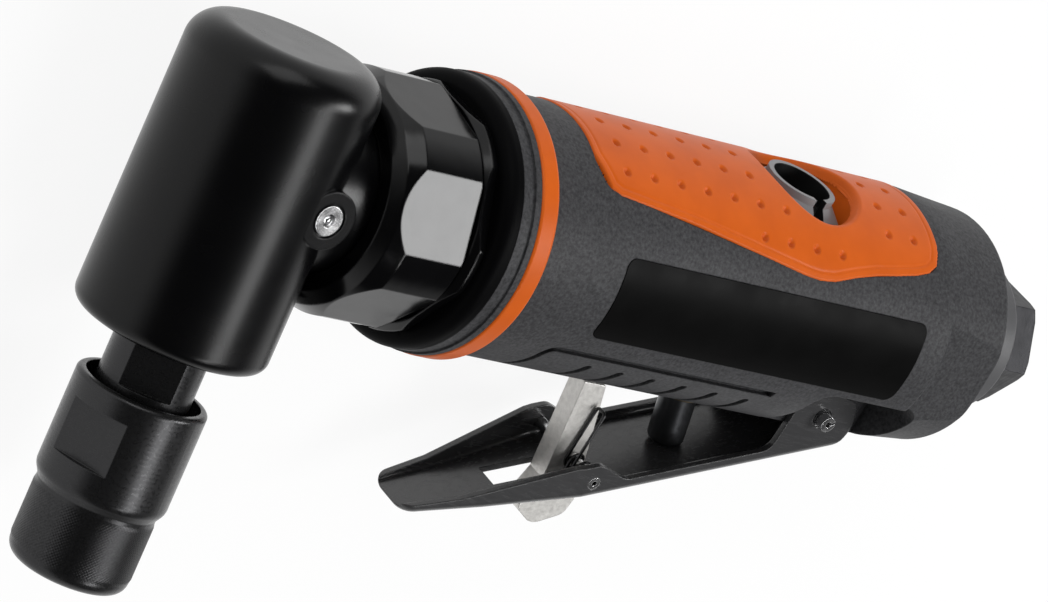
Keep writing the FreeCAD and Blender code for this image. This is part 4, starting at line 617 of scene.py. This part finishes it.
THREAD_RADIUS = 5.82
THREAD_DEPTH = 0.42
THREAD_PITCH = 1.337
THREAD_REAR = 150.4
THREAD_TURNS = 6.5
THREAD_STEPS = 56
THREAD_FADE_STEPS = 20
# Section of the thread: shares of its pitch along the bore, and of its depth into it
THREAD_SECTION = ((-0.45, 0.0), (-0.12, 1.0), (0.12, 1.0), (0.45, 0.0))


def build_inlet_thread(material):
    """Internal pipe thread in the mouth of the air inlet."""
    count = int(THREAD_TURNS * THREAD_STEPS) + 1
    points = []
    for number in range(count):
        turn = 2 * math.pi * number / THREAD_STEPS
        along = THREAD_REAR - THREAD_PITCH * number / THREAD_STEPS
        fade = min(1.0, min(number, count - 1 - number) / THREAD_FADE_STEPS)
        for offset, rise in THREAD_SECTION:
            radius = THREAD_RADIUS - THREAD_DEPTH * rise * fade
            points.append(at_housing(along + offset * THREAD_PITCH, radius * math.cos(turn),
                                     radius * math.sin(turn)))
    mesh_piece("inlet_thread", points, grid_faces(count, len(THREAD_SECTION)), material, "tool")


def build_all():
    orange = orange_elastomer()
    oxide = black_oxide_steel()
    enamel = black_enamelled_steel()
    inlet = phosphated_steel()
    dress({
        "head_black": powder_coated_aluminium(),
        "nut_black": enamel,
        "collar_black": black_anodised_aluminium(),
        "housing_composite": glass_filled_nylon(),
        "orange_elastomer": orange,
        "panel_black": black_polyester_film(),
        "lever_black": black_chromed_sheet(),
        "oxide_steel": oxide,
        "collet_steel": ground_steel("hardened_collet_steel", "#A9A9AB", 0.3, "Y"),
        "bearing_steel": ground_steel("bearing_steel", "#C4C4C6", 0.26, "X"),
        "gear_steel": ground_steel("case_hardened_steel", "#9D9C9A", 0.34, "X"),
        "motor_steel": ground_steel("honed_steel", "#B3B3B4", 0.3, "X"),
        "vane_laminate": plain_part("phenolic_laminate", "#7D5A38", 0.6, 0.4, 0.01),
        "bright_pin": ground_steel("bright_pin_steel", "#D5D5D6", 0.22, "Z"),
        "lock_silver": cast_zinc(),
        "spring_black": spring_wire(),
        "knob_grey": moulded_acetal(),
        "inlet_grey": inlet,
        "collar_grey": plain_part("sintered_bronze_grey", "#4B4B4D", 0.5, 0.3, 0.012),
        "valve_brass": plain_part("oxidised_brass", "#4E4536", 0.45, 0.5, 0.003, 0.8),
        "plunger_dark": plain_part("blued_steel", "#3F4042", 0.34, 0.6, 0.004, 0.9),
        "seal_rubber": plain_part("nitrile_rubber", "#161616", 0.6, 0.3, 0.006),
        "screen_brass": plain_part("woven_brass_screen", "#B99652", 0.38, 0.25, 0.03, 1.0),
        "felt": plain_part("wool_felt", "#A39E93", 0.9, 0.3, 0.05),
    })
    build_grip(orange)
    build_dish(orange)
    build_knurl(knurled_oxide_steel())
    build_inlet_thread(inlet)


set_camera()
set_surroundings()
set_floor()
add_lamp("key_softbox", (0.678, 0.137, 0.722), 1.2, (0.34, 0.34), 5.0)
add_lamp("strip_softbox", (0.34, -0.2, 0.92), 1.2, (1.1, 0.3), 7.5)
add_lamp("fill_softbox", (-0.35, 0.85, 0.45), 1.3, (1.0, 0.7), 5.0)
build_all()
